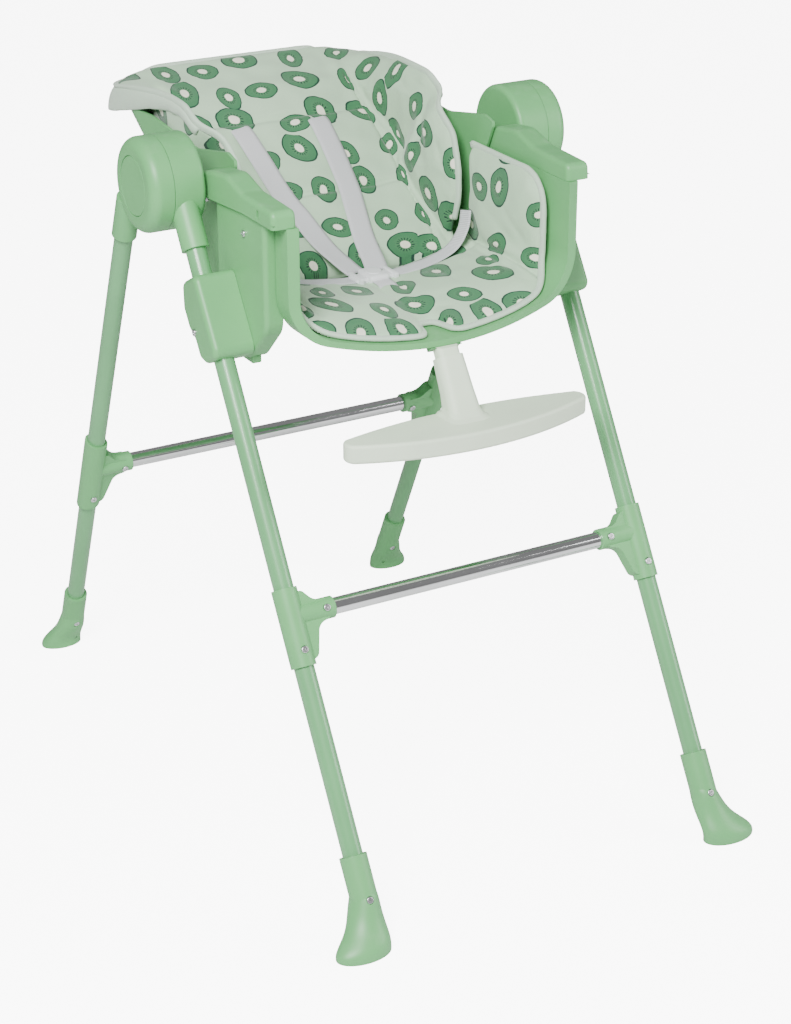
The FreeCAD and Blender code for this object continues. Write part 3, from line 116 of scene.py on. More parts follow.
class HighChairFinish(PropertyGroup):
    """Colours of the hard pieces."""

    plastic: FloatVectorProperty(name="Plastic", description="Colour of the green mouldings",
                                 subtype="COLOR", default=(0.125, 0.40, 0.145))
    tube: FloatVectorProperty(name="Tube", description="Colour of the painted tubes", subtype="COLOR",
                              default=(0.12, 0.36, 0.145))
    pale: FloatVectorProperty(name="Pale plastic", description="Colour of the footrest", subtype="COLOR",
                              default=(0.68, 0.80, 0.62))
    buckle: FloatVectorProperty(name="Buckle", description="Colour of the buckle", subtype="COLOR",
                                default=(0.70, 0.72, 0.73))
    edge_radius: FloatProperty(name="Edge radius", description="Softened radius of moulded edges",
                               default=0.0012, unit="LENGTH")


class HighChairStage(PropertyGroup):
    """Camera and light."""

    azimuth: FloatProperty(name="Azimuth", description="Camera's turn round the chair",
                           default=math.radians(-29.36), subtype="ANGLE")
    elevation: FloatProperty(name="Elevation", description="Camera's height angle",
                             default=math.radians(24.5), subtype="ANGLE")
    distance: FloatProperty(name="Distance", description="Camera to target", default=3.23014,
                            unit="LENGTH")
    lens: FloatProperty(name="Lens", description="Focal length", default=83.17, unit="CAMERA")
    key: FloatProperty(name="Key light", description="Power of the key light", default=250.0, unit="POWER")
    fill: FloatProperty(name="Fill light", description="Power of the fill light", default=70.0,
                        unit="POWER")
    sky: FloatProperty(name="Surround", description="Strength of the surrounding light", default=0.26)
    backdrop: FloatProperty(name="Backdrop", description="Brightness of the backdrop in view",
                            default=30.0)


# ------------------------------------------------------------------ meshes
def linked(name, data):
    """Object in the scene, with its mesh shaded smooth."""
    if isinstance(data, bpy.types.Mesh):
        data.polygons.foreach_set("use_smooth", [True] * len(data.polygons))
    obj = bpy.data.objects.new(name, data)
    bpy.context.scene.collection.objects.link(obj)
    return obj


def new_object(name, vertices, faces):
    """Mesh object at the origin from its vertices and faces."""
    mesh = bpy.data.meshes.new(name)
    mesh.from_pydata([tuple(v) for v in vertices], [], [tuple(f) for f in faces])
    mesh.validate()
    return linked(name, mesh)


def evaluated(obj):
    """Plain mesh of the object with its modifiers; the modifiers are then removed."""
    bpy.context.view_layer.update()
    graph = bpy.context.evaluated_depsgraph_get()
    mesh = bpy.data.meshes.new_from_object(obj.evaluated_get(graph), depsgraph=graph)
    obj.modifiers.clear()
    old = obj.data
    obj.data = mesh
    bpy.data.meshes.remove(old)
    mesh.polygons.foreach_set("use_smooth", [True] * len(mesh.polygons))
    return obj


def coordinates(mesh):
    """Vertex places as an array."""
    flat = np.empty(len(mesh.vertices) * 3, np.float64)
    mesh.vertices.foreach_get("co", flat)
    return flat.reshape(-1, 3)


def vertex_normals(mesh):
    """Vertex normals as an array."""
    flat = np.empty(len(mesh.vertices) * 3, np.float64)
    mesh.vertex_normals.foreach_get("vector", flat)
    return flat.reshape(-1, 3)


def store(mesh, name, values, kind="FLOAT_VECTOR"):
    """Point attribute from an array."""
    attribute = mesh.attributes.get(name) or mesh.attributes.new(name, kind, "POINT")
    key = "vector" if kind == "FLOAT_VECTOR" else "value"
    attribute.data.foreach_set(key, np.ascontiguousarray(values, np.float32).ravel())


def recall(mesh, name, width):
    """Point attribute as an array."""
    flat = np.empty(len(mesh.vertices) * width, np.float32)
    mesh.attributes[name].data.foreach_get("vector" if width == 3 else "value", flat)
    return flat.reshape(-1, width) if width > 1 else flat


def finish_piece(obj, material, body, slot, *nodes):
    """Material, body and the CAD nodes that the piece stands for. The record slot is not used."""
    obj.data.materials.clear()
    obj.data.materials.append(material)
    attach(obj, body)
    if nodes:
        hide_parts(*nodes)
    return obj


def sweep(sections):
    """Vertices and faces of closed sections set one after another, with both ends closed."""
    count, around = len(sections), len(sections[0])
    vertices = [point for section in sections for point in section]
    faces = [(i * around + k, i * around + (k + 1) % around,
              (i + 1) * around + (k + 1) % around, (i + 1) * around + k)
             for i in range(count - 1) for k in range(around)]
    faces.append(tuple(reversed(range(around))))
    faces.append(tuple((count - 1) * around + k for k in range(around)))
    return vertices, faces


def outward(obj):
    """Point every face out."""
    work = bmesh.new()
    work.from_mesh(obj.data)
    bmesh.ops.remove_doubles(work, verts=work.verts, dist=1e-6)
    bmesh.ops.recalc_face_normals(work, faces=work.faces)
    work.to_mesh(obj.data)
    work.free()
    return obj


def run_of(path):
    """Distance run at each point of a path."""
    return np.concatenate([[0], np.cumsum(np.linalg.norm(np.diff(path, axis=0), axis=1))])


def between(wanted, steps, values):
    """Rows of values at the wanted steps."""
    return np.column_stack([np.interp(wanted, steps, values[:, k]) for k in range(3)])


def directions(path, normals):
    """Unit direction along a path and unit direction across it, square to its normals."""
    tangent = np.gradient(path, axis=0)
    tangent /= np.linalg.norm(tangent, axis=1)[:, None]
    side = np.cross(tangent, normals)
    side /= np.linalg.norm(side, axis=1)[:, None]
    return tangent, side


def spline(points, count):
    """Evenly spaced points on a Catmull-Rom curve through the given points."""
    points = np.array([tuple(p) for p in points], float)
    knots = np.vstack([2 * points[0] - points[1], points, 2 * points[-1] - points[-2]])
    dense = []
    for p0, p1, p2, p3 in zip(knots, knots[1:], knots[2:], knots[3:]):
        for t in np.linspace(0, 1, 24, endpoint=False):
            dense.append(0.5 * (2 * p1 + (p2 - p0) * t + (2 * p0 - 5 * p1 + 4 * p2 - p3) * t * t
                                + (3 * p1 - p0 - 3 * p2 + p3) * t ** 3))
    dense = np.array(dense + [points[-1]])
    steps = run_of(dense)
    return between(np.linspace(0, steps[-1], count), steps, dense)


# ------------------------------------------------------------------ shader nodes
class Tree:
    """Short way to add and link nodes."""

    def __init__(self, tree):
        self.tree = tree
        self.column = 0

    def add(self, kind, inputs=None, **settings):
        node = self.tree.nodes.new(kind)
        node.location = (self.column * 190, -(self.column % 3) * 170)
        self.column += 1
        for key, value in settings.items():
            setattr(node, key, value)
        for key, value in (inputs or {}).items():
            socket = node.inputs[key]
            if isinstance(value, bpy.types.NodeSocket):
                self.tree.links.new(value, socket)
            else:
                socket.default_value = value
        return node

    def math(self, operation, first, second=0.0):
        return self.add("ShaderNodeMath", {0: first, 1: second}, operation=operation).outputs[0]

    def ramp(self, value, low, high):
        """0 below low to 1 above high."""
        node = self.add("ShaderNodeMapRange", {"Value": value, "From Min": low, "From Max": high},
                        interpolation_type="SMOOTHSTEP")
        return node.outputs["Result"]

    def mix(self, factor, first, second):
        node = self.add("ShaderNodeMix", data_type="RGBA")
        for index, value in ((0, factor), (6, first), (7, second)):
            if isinstance(value, bpy.types.NodeSocket):
                self.tree.links.new(value, node.inputs[index])
            else:
                node.inputs[index].default_value = value
        return node.outputs[2]

    def group(self, tree, inputs=None):
        return self.add("ShaderNodeGroup", inputs, node_tree=tree)

    def surface(self, shader, colour, value, rough, normal):
        """Colour, roughness spread over a value, and normal of a Principled BSDF."""
        spread = self.add("ShaderNodeMapRange", {"Value": value, "To Min": rough[0], "To Max": rough[1]})
        for label, output in (("Base Color", colour), ("Roughness", spread.outputs["Result"]),
                              ("Normal", normal)):
            self.tree.links.new(output, shader.inputs[label])


def new_group(name, inputs, outputs):
    """Shader node group with its sockets; gives the group, its builder and its two end nodes."""
    group = bpy.data.node_groups.new(name, "ShaderNodeTree")
    for label, kind, default in inputs:
        socket = group.interface.new_socket(label, in_out="INPUT", socket_type="NodeSocket" + kind)
        if default is not None:
            socket.default_value = default
    for label, kind in outputs:
        group.interface.new_socket(label, in_out="OUTPUT", socket_type="NodeSocket" + kind)
    tree = Tree(group)
    return group, tree, tree.add("NodeGroupInput").outputs, group.nodes.new("NodeGroupOutput")


def rgba(colour, gain=1.0):
    """Colour with its alpha, made brighter by the gain."""
    return tuple(min(1.0, channel * gain) for channel in colour) + (1.0,)


def build_grain_group():
    """Fine moulded or painted grain: a value that varies and a normal."""
    group, tree, given, end = new_group(
        "FineGrain",
        [("Pitch", "Float", 0.001), ("Depth", "Float", 0.1), ("Normal", "Vector", None)],
        [("Value", "Float"), ("Cloud", "Float"), ("Normal", "Vector")])
    place = tree.add("ShaderNodeTexCoord").outputs["Object"]
    scale = tree.math("DIVIDE", 1.0, given["Pitch"])
    fine = tree.add("ShaderNodeTexNoise", {"Vector": place, "Scale": scale, "Detail": 3.0})
    wide = tree.add("ShaderNodeTexNoise", {"Vector": place, "Scale": 9.0, "Detail": 2.0})
    bump = tree.add("ShaderNodeBump", {"Height": fine.outputs["Fac"], "Strength": given["Depth"],
                                       "Distance": 0.0004, "Normal": given["Normal"]})
    link = group.links.new
    link(fine.outputs["Fac"], end.inputs["Value"])
    link(wide.outputs["Fac"], end.inputs["Cloud"])
    link(bump.outputs["Normal"], end.inputs["Normal"])
    return group


def build_edge_group():
    """Softened edges: the bevelled normal and a mask that is 1 on an edge."""
    group, tree, given, end = new_group("SoftEdge", [("Radius", "Float", 0.001)],
                                        [("Mask", "Float"), ("Normal", "Vector")])
    bevel = tree.add("ShaderNodeBevel", {"Radius": given["Radius"]}, samples=4)
    flat = tree.add("ShaderNodeNewGeometry")
    dot = tree.add("ShaderNodeVectorMath", {0: bevel.outputs[0], 1: flat.outputs["Normal"]},
                   operation="DOT_PRODUCT")
    mask = tree.ramp(tree.math("SUBTRACT", 1.0, dot.outputs["Value"]), 0.01, 0.30)
    group.links.new(mask, end.inputs["Mask"])
    group.links.new(bevel.outputs[0], end.inputs["Normal"])
    return group


def build_dust_group():
    """Dust that settles on faces that look up."""
    group, tree, given, end = new_group("Dust", [("Amount", "Float", 0.1)], [("Mask", "Float")])
    place = tree.add("ShaderNodeTexCoord").outputs["Object"]
    up = tree.add("ShaderNodeSeparateXYZ",
                  {0: tree.add("ShaderNodeNewGeometry").outputs["Normal"]}).outputs["Z"]
    specks = tree.add("ShaderNodeTexNoise", {"Vector": place, "Scale": 60.0, "Detail": 6.0})
    lying = tree.ramp(up, 0.45, 0.95)
    patch = tree.ramp(specks.outputs["Fac"], 0.42, 0.72)
    both = tree.math("MULTIPLY", lying, patch)
    group.links.new(tree.math("MULTIPLY", both, given["Amount"]), end.inputs["Mask"])
    return group


def build_weave_group():
    """Plain weave on the cloth's own coordinates: thread shade and height."""
    group, tree, given, end = new_group(
        "Weave", [("Cloth", "Vector", None), ("Pitch", "Float", 0.0008), ("Stretch", "Float", 1.0)],
        [("Shade", "Float"), ("Height", "Float")])
    parts = tree.add("ShaderNodeSeparateXYZ", {0: given["Cloth"]})
    turn = tree.math("DIVIDE", 2 * math.pi, given["Pitch"])
    across = tree.math("SINE", tree.math("MULTIPLY", parts.outputs["X"], turn))
    along_turn = tree.math("DIVIDE", turn, given["Stretch"])
    along = tree.math("SINE", tree.math("MULTIPLY", parts.outputs["Y"], along_turn))
    over = tree.math("MULTIPLY", across, along)
    height = tree.math("MULTIPLY_ADD", over, 0.5)
    height.node.inputs[2].default_value = 0.5
    slub = tree.add("ShaderNodeTexNoise", {"Vector": given["Cloth"], "Scale": 420.0, "Detail": 2.0})
    shade = tree.add("ShaderNodeMix", {0: 0.35, 2: slub.outputs["Fac"], 3: height}, data_type="FLOAT")
    group.links.new(shade.outputs[0], end.inputs["Shade"])
    group.links.new(height, end.inputs["Height"])
    return group


def build_print_group():
    """Scattered fruit slices: uneven ovals with an outline, a pale core and a ring of seeds."""
    group, tree, given, end = new_group(
        "SlicePrint",
        [("Cloth", "Vector", None), ("Cell", "Float", 0.06), ("Ground", "Color", None),
         ("Slice", "Color", None)], [("Color", "Color"), ("Ink", "Float")])
    scaled = tree.add("ShaderNodeVectorMath",
                      {0: given["Cloth"], "Scale": tree.math("DIVIDE", 1.0, given["Cell"])},
                      operation="SCALE").outputs[0]
    cells = tree.add("ShaderNodeTexVoronoi", {"Vector": scaled, "Scale": 1.0, "Randomness": 0.42},
                     voronoi_dimensions="2D")
    chance = tree.add("ShaderNodeSeparateColor", {0: cells.outputs["Color"]})
    local = tree.add("ShaderNodeVectorMath", {0: scaled, 1: cells.outputs["Position"]},
                     operation="SUBTRACT").outputs[0]
    wobble = tree.add("ShaderNodeTexNoise", {"Vector": scaled, "Scale": 2.1, "Detail": 0.0},
                      noise_dimensions="2D")
    angle = tree.math("MULTIPLY", chance.outputs[0], math.pi)
    turned = tree.add("ShaderNodeVectorRotate", {"Vector": local, "Angle": angle},
                      rotation_type="Z_AXIS").outputs[0]
    axes = tree.add("ShaderNodeSeparateXYZ", {0: turned})
    size = tree.math("MULTIPLY_ADD", chance.outputs[1], 0.13)
    size.node.inputs[2].default_value = 0.335
    narrow = tree.math("MULTIPLY", size, 0.74)
    x = tree.math("DIVIDE", axes.outputs["X"], size)
    y = tree.math("DIVIDE", axes.outputs["Y"], narrow)
    radius = tree.math("SQRT", tree.math("ADD", tree.math("MULTIPLY", x, x), tree.math("MULTIPLY", y, y)))
    uneven = tree.math("MULTIPLY_ADD", wobble.outputs["Fac"], 0.30)
    uneven.node.inputs[2].default_value = 0.84
    radius = tree.math("MULTIPLY", radius, uneven)
    spin = tree.math("ARCTAN2", y, x)
    rays = tree.math("SINE", tree.math("MULTIPLY", spin, 34.0))
    seeds_round = tree.math("SINE", tree.math("MULTIPLY", spin, 17.0))
    inside = tree.math("SUBTRACT", 1.0, tree.ramp(radius, 0.985, 1.015))
    skin = tree.ramp(radius, 0.90, 0.93)
    core = tree.math("SUBTRACT", 1.0, tree.ramp(radius, 0.27, 0.31))
    band = tree.math("SUBTRACT", 1.0, tree.ramp(
        tree.math("ABSOLUTE", tree.math("SUBTRACT", radius, 0.42)), 0.07, 0.10))
    seeds = tree.math("MULTIPLY", band, tree.ramp(seeds_round, 0.35, 0.6))
    streak = tree.math("MULTIPLY", tree.ramp(rays, 0.2, 1.0),
                       tree.math("SUBTRACT", 1.0, tree.ramp(radius, 0.35, 0.75)))
    flesh = tree.mix(tree.math("MULTIPLY", streak, 0.30), given["Slice"], (0.22, 0.42, 0.20, 1))
    flesh = tree.mix(core, flesh, (0.80, 0.80, 0.66, 1))
    flesh = tree.mix(seeds, flesh, (0.012, 0.03, 0.024, 1))
    flesh = tree.mix(skin, flesh, (0.008, 0.045, 0.026, 1))
    colour = tree.mix(inside, given["Ground"], flesh)
    group.links.new(colour, end.inputs["Color"])
    group.links.new(inside, end.inputs["Ink"])
    return group


def build_rib_group():
    """Webbing ribs across the strap: height and shade."""
    group, tree, given, end = new_group("Ribs", [("Cloth", "Vector", None), ("Pitch", "Float", 0.002)],
                                        [("Shade", "Float"), ("Height", "Float")])
    parts = tree.add("ShaderNodeSeparateXYZ", {0: given["Cloth"]})
    wave = tree.math("SINE", tree.math("MULTIPLY", parts.outputs["Y"],
                                       tree.math("DIVIDE", 2 * math.pi, given["Pitch"])))
    fine = tree.math("SINE", tree.math("MULTIPLY", parts.outputs["X"], 2 * math.pi / 0.0011))
    height = tree.math("ADD", tree.math("MULTIPLY", wave, 0.42), tree.math("MULTIPLY", fine, 0.12))
    group.links.new(tree.ramp(height, -0.5, 0.5), end.inputs["Shade"])
    group.links.new(height, end.inputs["Height"])
    return group


GROUP_BUILDERS = {"grain": build_grain_group, "edge": build_edge_group, "dust": build_dust_group,
                  "weave": build_weave_group, "print": build_print_group, "ribs": build_rib_group}
GROUPS = {}
MATERIALS = {}


def group_of(name):
    """Shader group by its short name, built once."""
    if name not in GROUPS:
        GROUPS[name] = GROUP_BUILDERS[name]()
    return GROUPS[name]


def new_material(name):
    """Material, its builder and its Principled BSDF."""
    material = bpy.data.materials.new(name)
    material.use_nodes = True
    nodes = material.node_tree.nodes
    shader = next(node for node in nodes if node.type == "BSDF_PRINCIPLED")
    MATERIALS[name] = material
    return material, Tree(material.node_tree), shader


def set_constants(shader, **values):
    """Fixed inputs by name, with underscores for spaces."""
    for name, value in values.items():
        shader.inputs[name.replace("_", " ")].default_value = value


# ------------------------------------------------------------------ finishes
DUST = (0.75, 0.76, 0.73, 1)
BUCKLE_EDGE = 0.6 * MM


def moulded(name, colour, rough, pitch, depth, dust, radius):
    """Moulded plastic: grain, a painted highlight on the edges, slow colour variation and dust."""
    _, tree, shader = new_material(name)
    edge = tree.group(group_of("edge"), {"Radius": radius})
    grain = tree.group(group_of("grain"), {"Pitch": pitch, "Depth": depth,
                                           "Normal": edge.outputs["Normal"]})
    settled = tree.group(group_of("dust"), {"Amount": dust})
    varied = tree.mix(tree.ramp(grain.outputs["Cloud"], 0.3, 0.7), rgba(colour, 0.95), rgba(colour, 1.05))
    # Painted highlight: the edge mask mixes the colour 22% towards a copy 1.5 times lighter.
    highlit_edge = tree.mix(tree.math("MULTIPLY", edge.outputs["Mask"], 0.22), varied, rgba(colour, 1.5))
    dusty = tree.mix(settled.outputs["Mask"], highlit_edge, DUST)
    tree.surface(shader, dusty, grain.outputs["Value"], (rough - 0.05, rough + 0.07), grain.outputs["Normal"])
    return shader


def build_plastics(finish):
    """Green mouldings, pale footrest and grey buckle."""
    # Edge radius for the bevelled normals and for the band of painted edge highlight.
    highlit_edge = finish.edge_radius
    for name, colour, rough, pitch, depth, dust, radius, level in (
            ("green_plastic", finish.plastic, 0.40, 0.0007, 0.10, 0.05, highlit_edge, 0.45),
            ("pale_plastic", finish.pale, 0.46, 0.0005, 0.16, 0.04, highlit_edge, 0.4),
            ("buckle_plastic", finish.buckle, 0.42, 0.0004, 0.10, 0.03, BUCKLE_EDGE, 0.45)):
        set_constants(moulded(name, colour, rough, pitch, depth, dust, radius), Specular_IOR_Level=level)


def build_paint(finish):
    """Powder-coated tube with a soft orange peel."""
    _, tree, shader = new_material("green_paint")
    grain = tree.group(group_of("grain"), {"Pitch": 0.0016, "Depth": 0.09})
    settled = tree.group(group_of("dust"), {"Amount": 0.04})
    varied = tree.mix(tree.ramp(grain.outputs["Cloud"], 0.3, 0.7), rgba(finish.tube, 0.96),
                      rgba(finish.tube, 1.05))
    dusty = tree.mix(settled.outputs["Mask"], varied, DUST)
    tree.surface(shader, dusty, grain.outputs["Value"], (0.24, 0.36), grain.outputs["Normal"])
    set_constants(shader, Coat_Weight=0.25, Coat_Roughness=0.12)


def build_metals():
    """Chrome for the crossbars and plated steel for screws and pins."""
    for name, colour, low, high, pitch in (("chrome", (0.78, 0.79, 0.80), 0.05, 0.16, 0.02),
                                           ("plated_steel", (0.62, 0.63, 0.64), 0.22, 0.42, 0.0009)):
        _, tree, shader = new_material(name)
        grain = tree.group(group_of("grain"), {"Pitch": pitch, "Depth": 0.03})
        tint = tree.mix(tree.ramp(grain.outputs["Cloud"], 0.3, 0.7), rgba(colour, 0.93), rgba(colour, 1.05))
        tree.surface(shader, tint, grain.outputs["Value"], (low, high), grain.outputs["Normal"])
        set_constants(shader, Metallic=1.0)


def cloth_coordinates(tree):
    """Flat cloth coordinates stored on the mesh."""
    return tree.add("ShaderNodeAttribute", attribute_name="cloth").outputs["Vector"]


def build_fabrics(fabric):
    """Printed cloth for the pads, plain cloth for binding and lining, and webbing."""
    for name, printed in (("printed_cloth", True), ("plain_cloth", False)):
        _, tree, shader = new_material(name)
        cloth = cloth_coordinates(tree)
        weave = tree.group(group_of("weave"), {"Cloth": cloth, "Pitch": 0.0009, "Stretch": 1.0})
        if printed:
            ink = tree.group(group_of("print"), {"Cloth": cloth, "Cell": fabric.print_cell,
                                                 "Ground": rgba(fabric.cloth), "Slice": rgba(fabric.flesh)})
            colour = ink.outputs["Color"]
        else:
            colour = rgba(fabric.lining)
        darker = tree.add("ShaderNodeHueSaturation", {"Value": 0.86, "Color": colour}).outputs[0]
        lighter = tree.add("ShaderNodeHueSaturation", {"Value": 1.06, "Color": colour}).outputs[0]
        threads = tree.mix(weave.outputs["Shade"], darker, lighter)
        bump = tree.add("ShaderNodeBump", {"Height": weave.outputs["Height"], "Strength": 0.35,
                                           "Distance": 0.0003})
        tree.surface(shader, threads, weave.outputs["Shade"], (0.72, 0.92), bump.outputs["Normal"])
        set_constants(shader, Sheen_Weight=0.25, Sheen_Roughness=0.45, Specular_IOR_Level=0.25)
    for name, pitch, colour in (("webbing", 0.0024, (0.60, 0.62, 0.64)),
                                ("smooth_web", 0.0011, (0.66, 0.67, 0.69)),
                                ("thread", 0.0010, (0.62, 0.70, 0.62))):
        _, tree, shader = new_material(name)
        ribs = tree.group(group_of("ribs"), {"Cloth": cloth_coordinates(tree), "Pitch": pitch})
        threads = tree.mix(ribs.outputs["Shade"], rgba(colour, 0.72), rgba(colour, 1.08))
        bump = tree.add("ShaderNodeBump", {"Height": ribs.outputs["Height"], "Strength": 0.7,
                                           "Distance": 0.0006})
        tree.surface(shader, threads, ribs.outputs["Shade"], (0.62, 0.82), bump.outputs["Normal"])
        set_constants(shader, Sheen_Weight=0.2, Specular_IOR_Level=0.3)


SLOT_FINISH = {"frame_green": "green_paint", "plastic_green": "green_plastic", "plastic_pale": "pale_plastic",
               "chrome": "chrome", "steel": "plated_steel", "pad_fabric": "printed_cloth",
               "webbing": "webbing", "buckle_grey": "buckle_plastic"}


def dress_frame():
    """Finish of every CAD node from its record slot."""
    slots = {part["node"]: part["material_slot"] for part in frame["record"]["subparts"]}
    for name, node in frame["nodes"].items():
        node.data.materials.clear()
        node.data.materials.append(MATERIALS[SLOT_FINISH[slots[name]]])


# ------------------------------------------------------------------ repeated trim
STITCH_SHARE = 0.62


def build_stitch_tree():
    """Short thread lengths along a curve, spaced evenly and lying along it."""
    tree = bpy.data.node_groups.new("StitchRow", "GeometryNodeTree")
    face = tree.interface
    face.new_socket("Path", in_out="INPUT", socket_type="NodeSocketGeometry")
    for label, default in (("Spacing", 0.004), ("Thickness", 0.0004), ("Length", 0.0026)):
        face.new_socket(label, in_out="INPUT", socket_type="NodeSocketFloat").default_value = default
    face.new_socket("Thread", in_out="INPUT", socket_type="NodeSocketMaterial")
    face.new_socket("Stitches", in_out="OUTPUT", socket_type="NodeSocketGeometry")
    add = tree.nodes.new
    given, end = add("NodeGroupInput"), add("NodeGroupOutput")
    curve = add("GeometryNodeMeshToCurve")
    points = add("GeometryNodeCurveToPoints")
    points.mode = "LENGTH"
    thread = add("GeometryNodeMeshCylinder")
    thread.fill_type = "NGON"
    thread.inputs["Vertices"].default_value = 6
    place = add("GeometryNodeInstanceOnPoints")
    realize = add("GeometryNodeRealizeInstances")
    paint = add("GeometryNodeSetMaterial")
    for source, output, target, label in (
            (given, "Path", curve, "Mesh"), (curve, "Curve", points, "Curve"),
            (given, "Spacing", points, "Length"), (given, "Thickness", thread, "Radius"),
            (given, "Length", thread, "Depth"), (thread, "Mesh", place, "Instance"),
            (points, "Points", place, "Points"), (points, "Rotation", place, "Rotation"),
            (place, "Instances", realize, "Geometry"), (realize, "Geometry", paint, "Geometry"),
            (given, "Thread", paint, "Material"), (paint, "Geometry", end, "Stitches")):
        tree.links.new(source.outputs[output], target.inputs[label])
    return tree


def stitch_row(name, paths, settings, body):
    """One mesh of stitches along open paths, lists of points."""
    if "stitch" not in GROUPS:
        GROUPS["stitch"] = build_stitch_tree()
    mesh = bpy.data.meshes.new(name)
    vertices, edges = [], []
    for path in paths:
        start = len(vertices)
        vertices += [tuple(point) for point in path]
        edges += [(start + k, start + k + 1) for k in range(len(path) - 1)]
    mesh.from_pydata(vertices, edges, [])
    obj = linked(name, mesh)
    modifier = obj.modifiers.new("stitches", "NODES")
    modifier.node_group = GROUPS["stitch"]
    values = {"Spacing": settings.stitch, "Length": settings.stitch * STITCH_SHARE,
              "Thread": MATERIALS["thread"]}
    for item in GROUPS["stitch"].interface.items_tree:
        if item.name in values:
            modifier[item.identifier] = values[item.name]
    evaluated(obj)
    return finish_piece(obj, MATERIALS["thread"], body, "pad_fabric")


# ------------------------------------------------------------------ padded pieces
FILL_STEPS = 20
HEAD_END = 398 * MM
EDGE_LIFT = 3 * MM
CREASES = ((0.150, 0.5, 0.3, 0.5), (0.090, 1.9, 1.1, 0.35), (0.061, 2.7, 2.0, 0.3),
           (0.043, 0.9, 0.7, 0.2), (0.031, 2.2, 2.6, 0.13))


def shell_mesh(name, outer, inner, cloth, hold):
    """Closed mesh between two grids of points, with its flat cloth coordinates and how firmly it is held."""
    rows, columns = outer.shape[:2]
    count = rows * columns
    vertices = np.vstack([outer.reshape(-1, 3), inner.reshape(-1, 3)])
    faces = []
    for i in range(rows - 1):
        for j in range(columns - 1):
            a, d = i * columns + j, (i + 1) * columns + j
            b, c = a + 1, d + 1
            faces.append((a, b, c, d))
            faces.append((count + a, count + d, count + c, count + b))
    border = ([(0, j) for j in range(columns)] + [(i, columns - 1) for i in range(1, rows)]
              + [(rows - 1, j) for j in range(columns - 2, -1, -1)]
              + [(i, 0) for i in range(rows - 2, 0, -1)])
    for (i0, j0), (i1, j1) in zip(border, border[1:] + border[:1]):
        a, b = i0 * columns + j0, i1 * columns + j1
        faces.append((a, count + a, count + b, b))
    obj = outward(new_object(name, vertices, faces))
    tree = BVHTree.FromPolygons([tuple(v) for v in vertices], faces)
    values = np.vstack([np.column_stack([cloth.reshape(-1, 2), np.ones(count)]),
                        np.column_stack([cloth.reshape(-1, 2), np.zeros(count)])])
    holds = np.concatenate([np.ones(count), hold.reshape(-1)])
    return obj, (tree, vertices, faces, values, holds)


def carry(source, mesh):
    """Cloth coordinates, side and hold of the nearest place on the first mesh."""
    tree, vertices, faces, values, holds = source
    points = coordinates(mesh)
    out = np.zeros((len(points), 3))
    held = np.zeros(len(points))
    for k, point in enumerate(points):
        _, _, face, _ = tree.find_nearest(Vector(point))
        ring = list(faces[face])
        gap = np.linalg.norm(vertices[ring] - point, axis=1)
        weight = 1.0 / (gap + 1e-5) ** 2
        weight /= weight.sum()
        out[k] = weight @ values[ring]
        held[k] = weight @ holds[ring]
    return out, held


def fill_pad(obj, source, settings, seams, wrinkle):
    """Remesh, fill by cloth pressure with the held side fixed, then sew the channels in."""
    remesh = obj.modifiers.new("remesh", "REMESH")
    remesh.mode = "VOXEL"
    remesh.voxel_size = settings.voxel
    evaluated(obj)
    mesh = obj.data
    cloth, held = carry(source, mesh)
    rest = coordinates(mesh)
    pins = obj.vertex_groups.new(name="held")
    for index, weight in enumerate(held):
        if weight > 0.02:
            pins.add([index], float(min(1.0, weight)), "REPLACE")
    modifier = obj.modifiers.new("fill", "CLOTH")
    sim = modifier.settings
    sim.quality = 5
    sim.mass = 0.3
    sim.tension_stiffness = 8.0
    sim.compression_stiffness = 5.0
    sim.bending_stiffness = 0.35
    sim.use_pressure = True
    sim.uniform_pressure_force = settings.pressure
    sim.effector_weights.gravity = 0.0
    sim.vertex_group_mass = "held"
    modifier.collision_settings.use_collision = False
    modifier.point_cache.frame_start = 1
    modifier.point_cache.frame_end = FILL_STEPS
    for step in range(1, FILL_STEPS + 1):
        bpy.context.scene.frame_set(step)
    graph = bpy.context.evaluated_depsgraph_get()
    filled = bpy.data.meshes.new_from_object(obj.evaluated_get(graph), depsgraph=graph)
    moved = coordinates(filled) - rest
    bpy.data.meshes.remove(filled)
    obj.modifiers.clear()
    obj.vertex_groups.clear()
    bpy.context.scene.frame_set(1)
    length = np.linalg.norm(moved, axis=1)
    cap = settings.swell * (1 - 0.85 * np.clip(held, 0, 1))
    moved *= (np.minimum(length, cap) / np.maximum(length, 1e-9))[:, None]
    rest = rest + moved
    mesh.vertices.foreach_set("co", rest.astype(np.float32).ravel())
    mesh.update()
    store(mesh, "cloth", cloth)
    store(mesh, "held", held, "FLOAT")
    subdivide = obj.modifiers.new("subdivide", "SUBSURF")
    subdivide.levels = subdivide.render_levels = 1
    evaluated(obj)
    mesh = obj.data
    cloth = recall(mesh, "cloth", 3)
    held = recall(mesh, "held", 1)
    points, normals = coordinates(mesh), vertex_normals(mesh)
    open_side = 1 - smooth(cloth[:, 2], 0.3, 0.7)
    depth = np.zeros(len(points))
    for seam in seams:
        depth -= seam(cloth[:, 0], cloth[:, 1])
    depth += wrinkle * creases(cloth[:, 0], cloth[:, 1]) * (1 - np.clip(held, 0, 1))
    points += normals * (depth * open_side)[:, None]
    mesh.vertices.foreach_set("co", points.astype(np.float32).ravel())
    flat = np.column_stack([cloth[:, :2], np.zeros(len(points))])
    store(mesh, "cloth", flat)
    mesh.update()
    return obj


def creases(u, v):
    """Soft uneven folds of loose cloth, -1 to 1."""
    total = np.zeros_like(u)
    for size, angle, phase, strength in CREASES:
        along = u * math.cos(angle) + v * math.sin(angle)
        bend = 0.3 * np.sin((u * math.sin(angle) - v * math.cos(angle)) * 2 * math.pi / (size * 1.7) + phase)
        total += strength * np.sin(along * 2 * math.pi / size + phase + bend * 3)
    return total


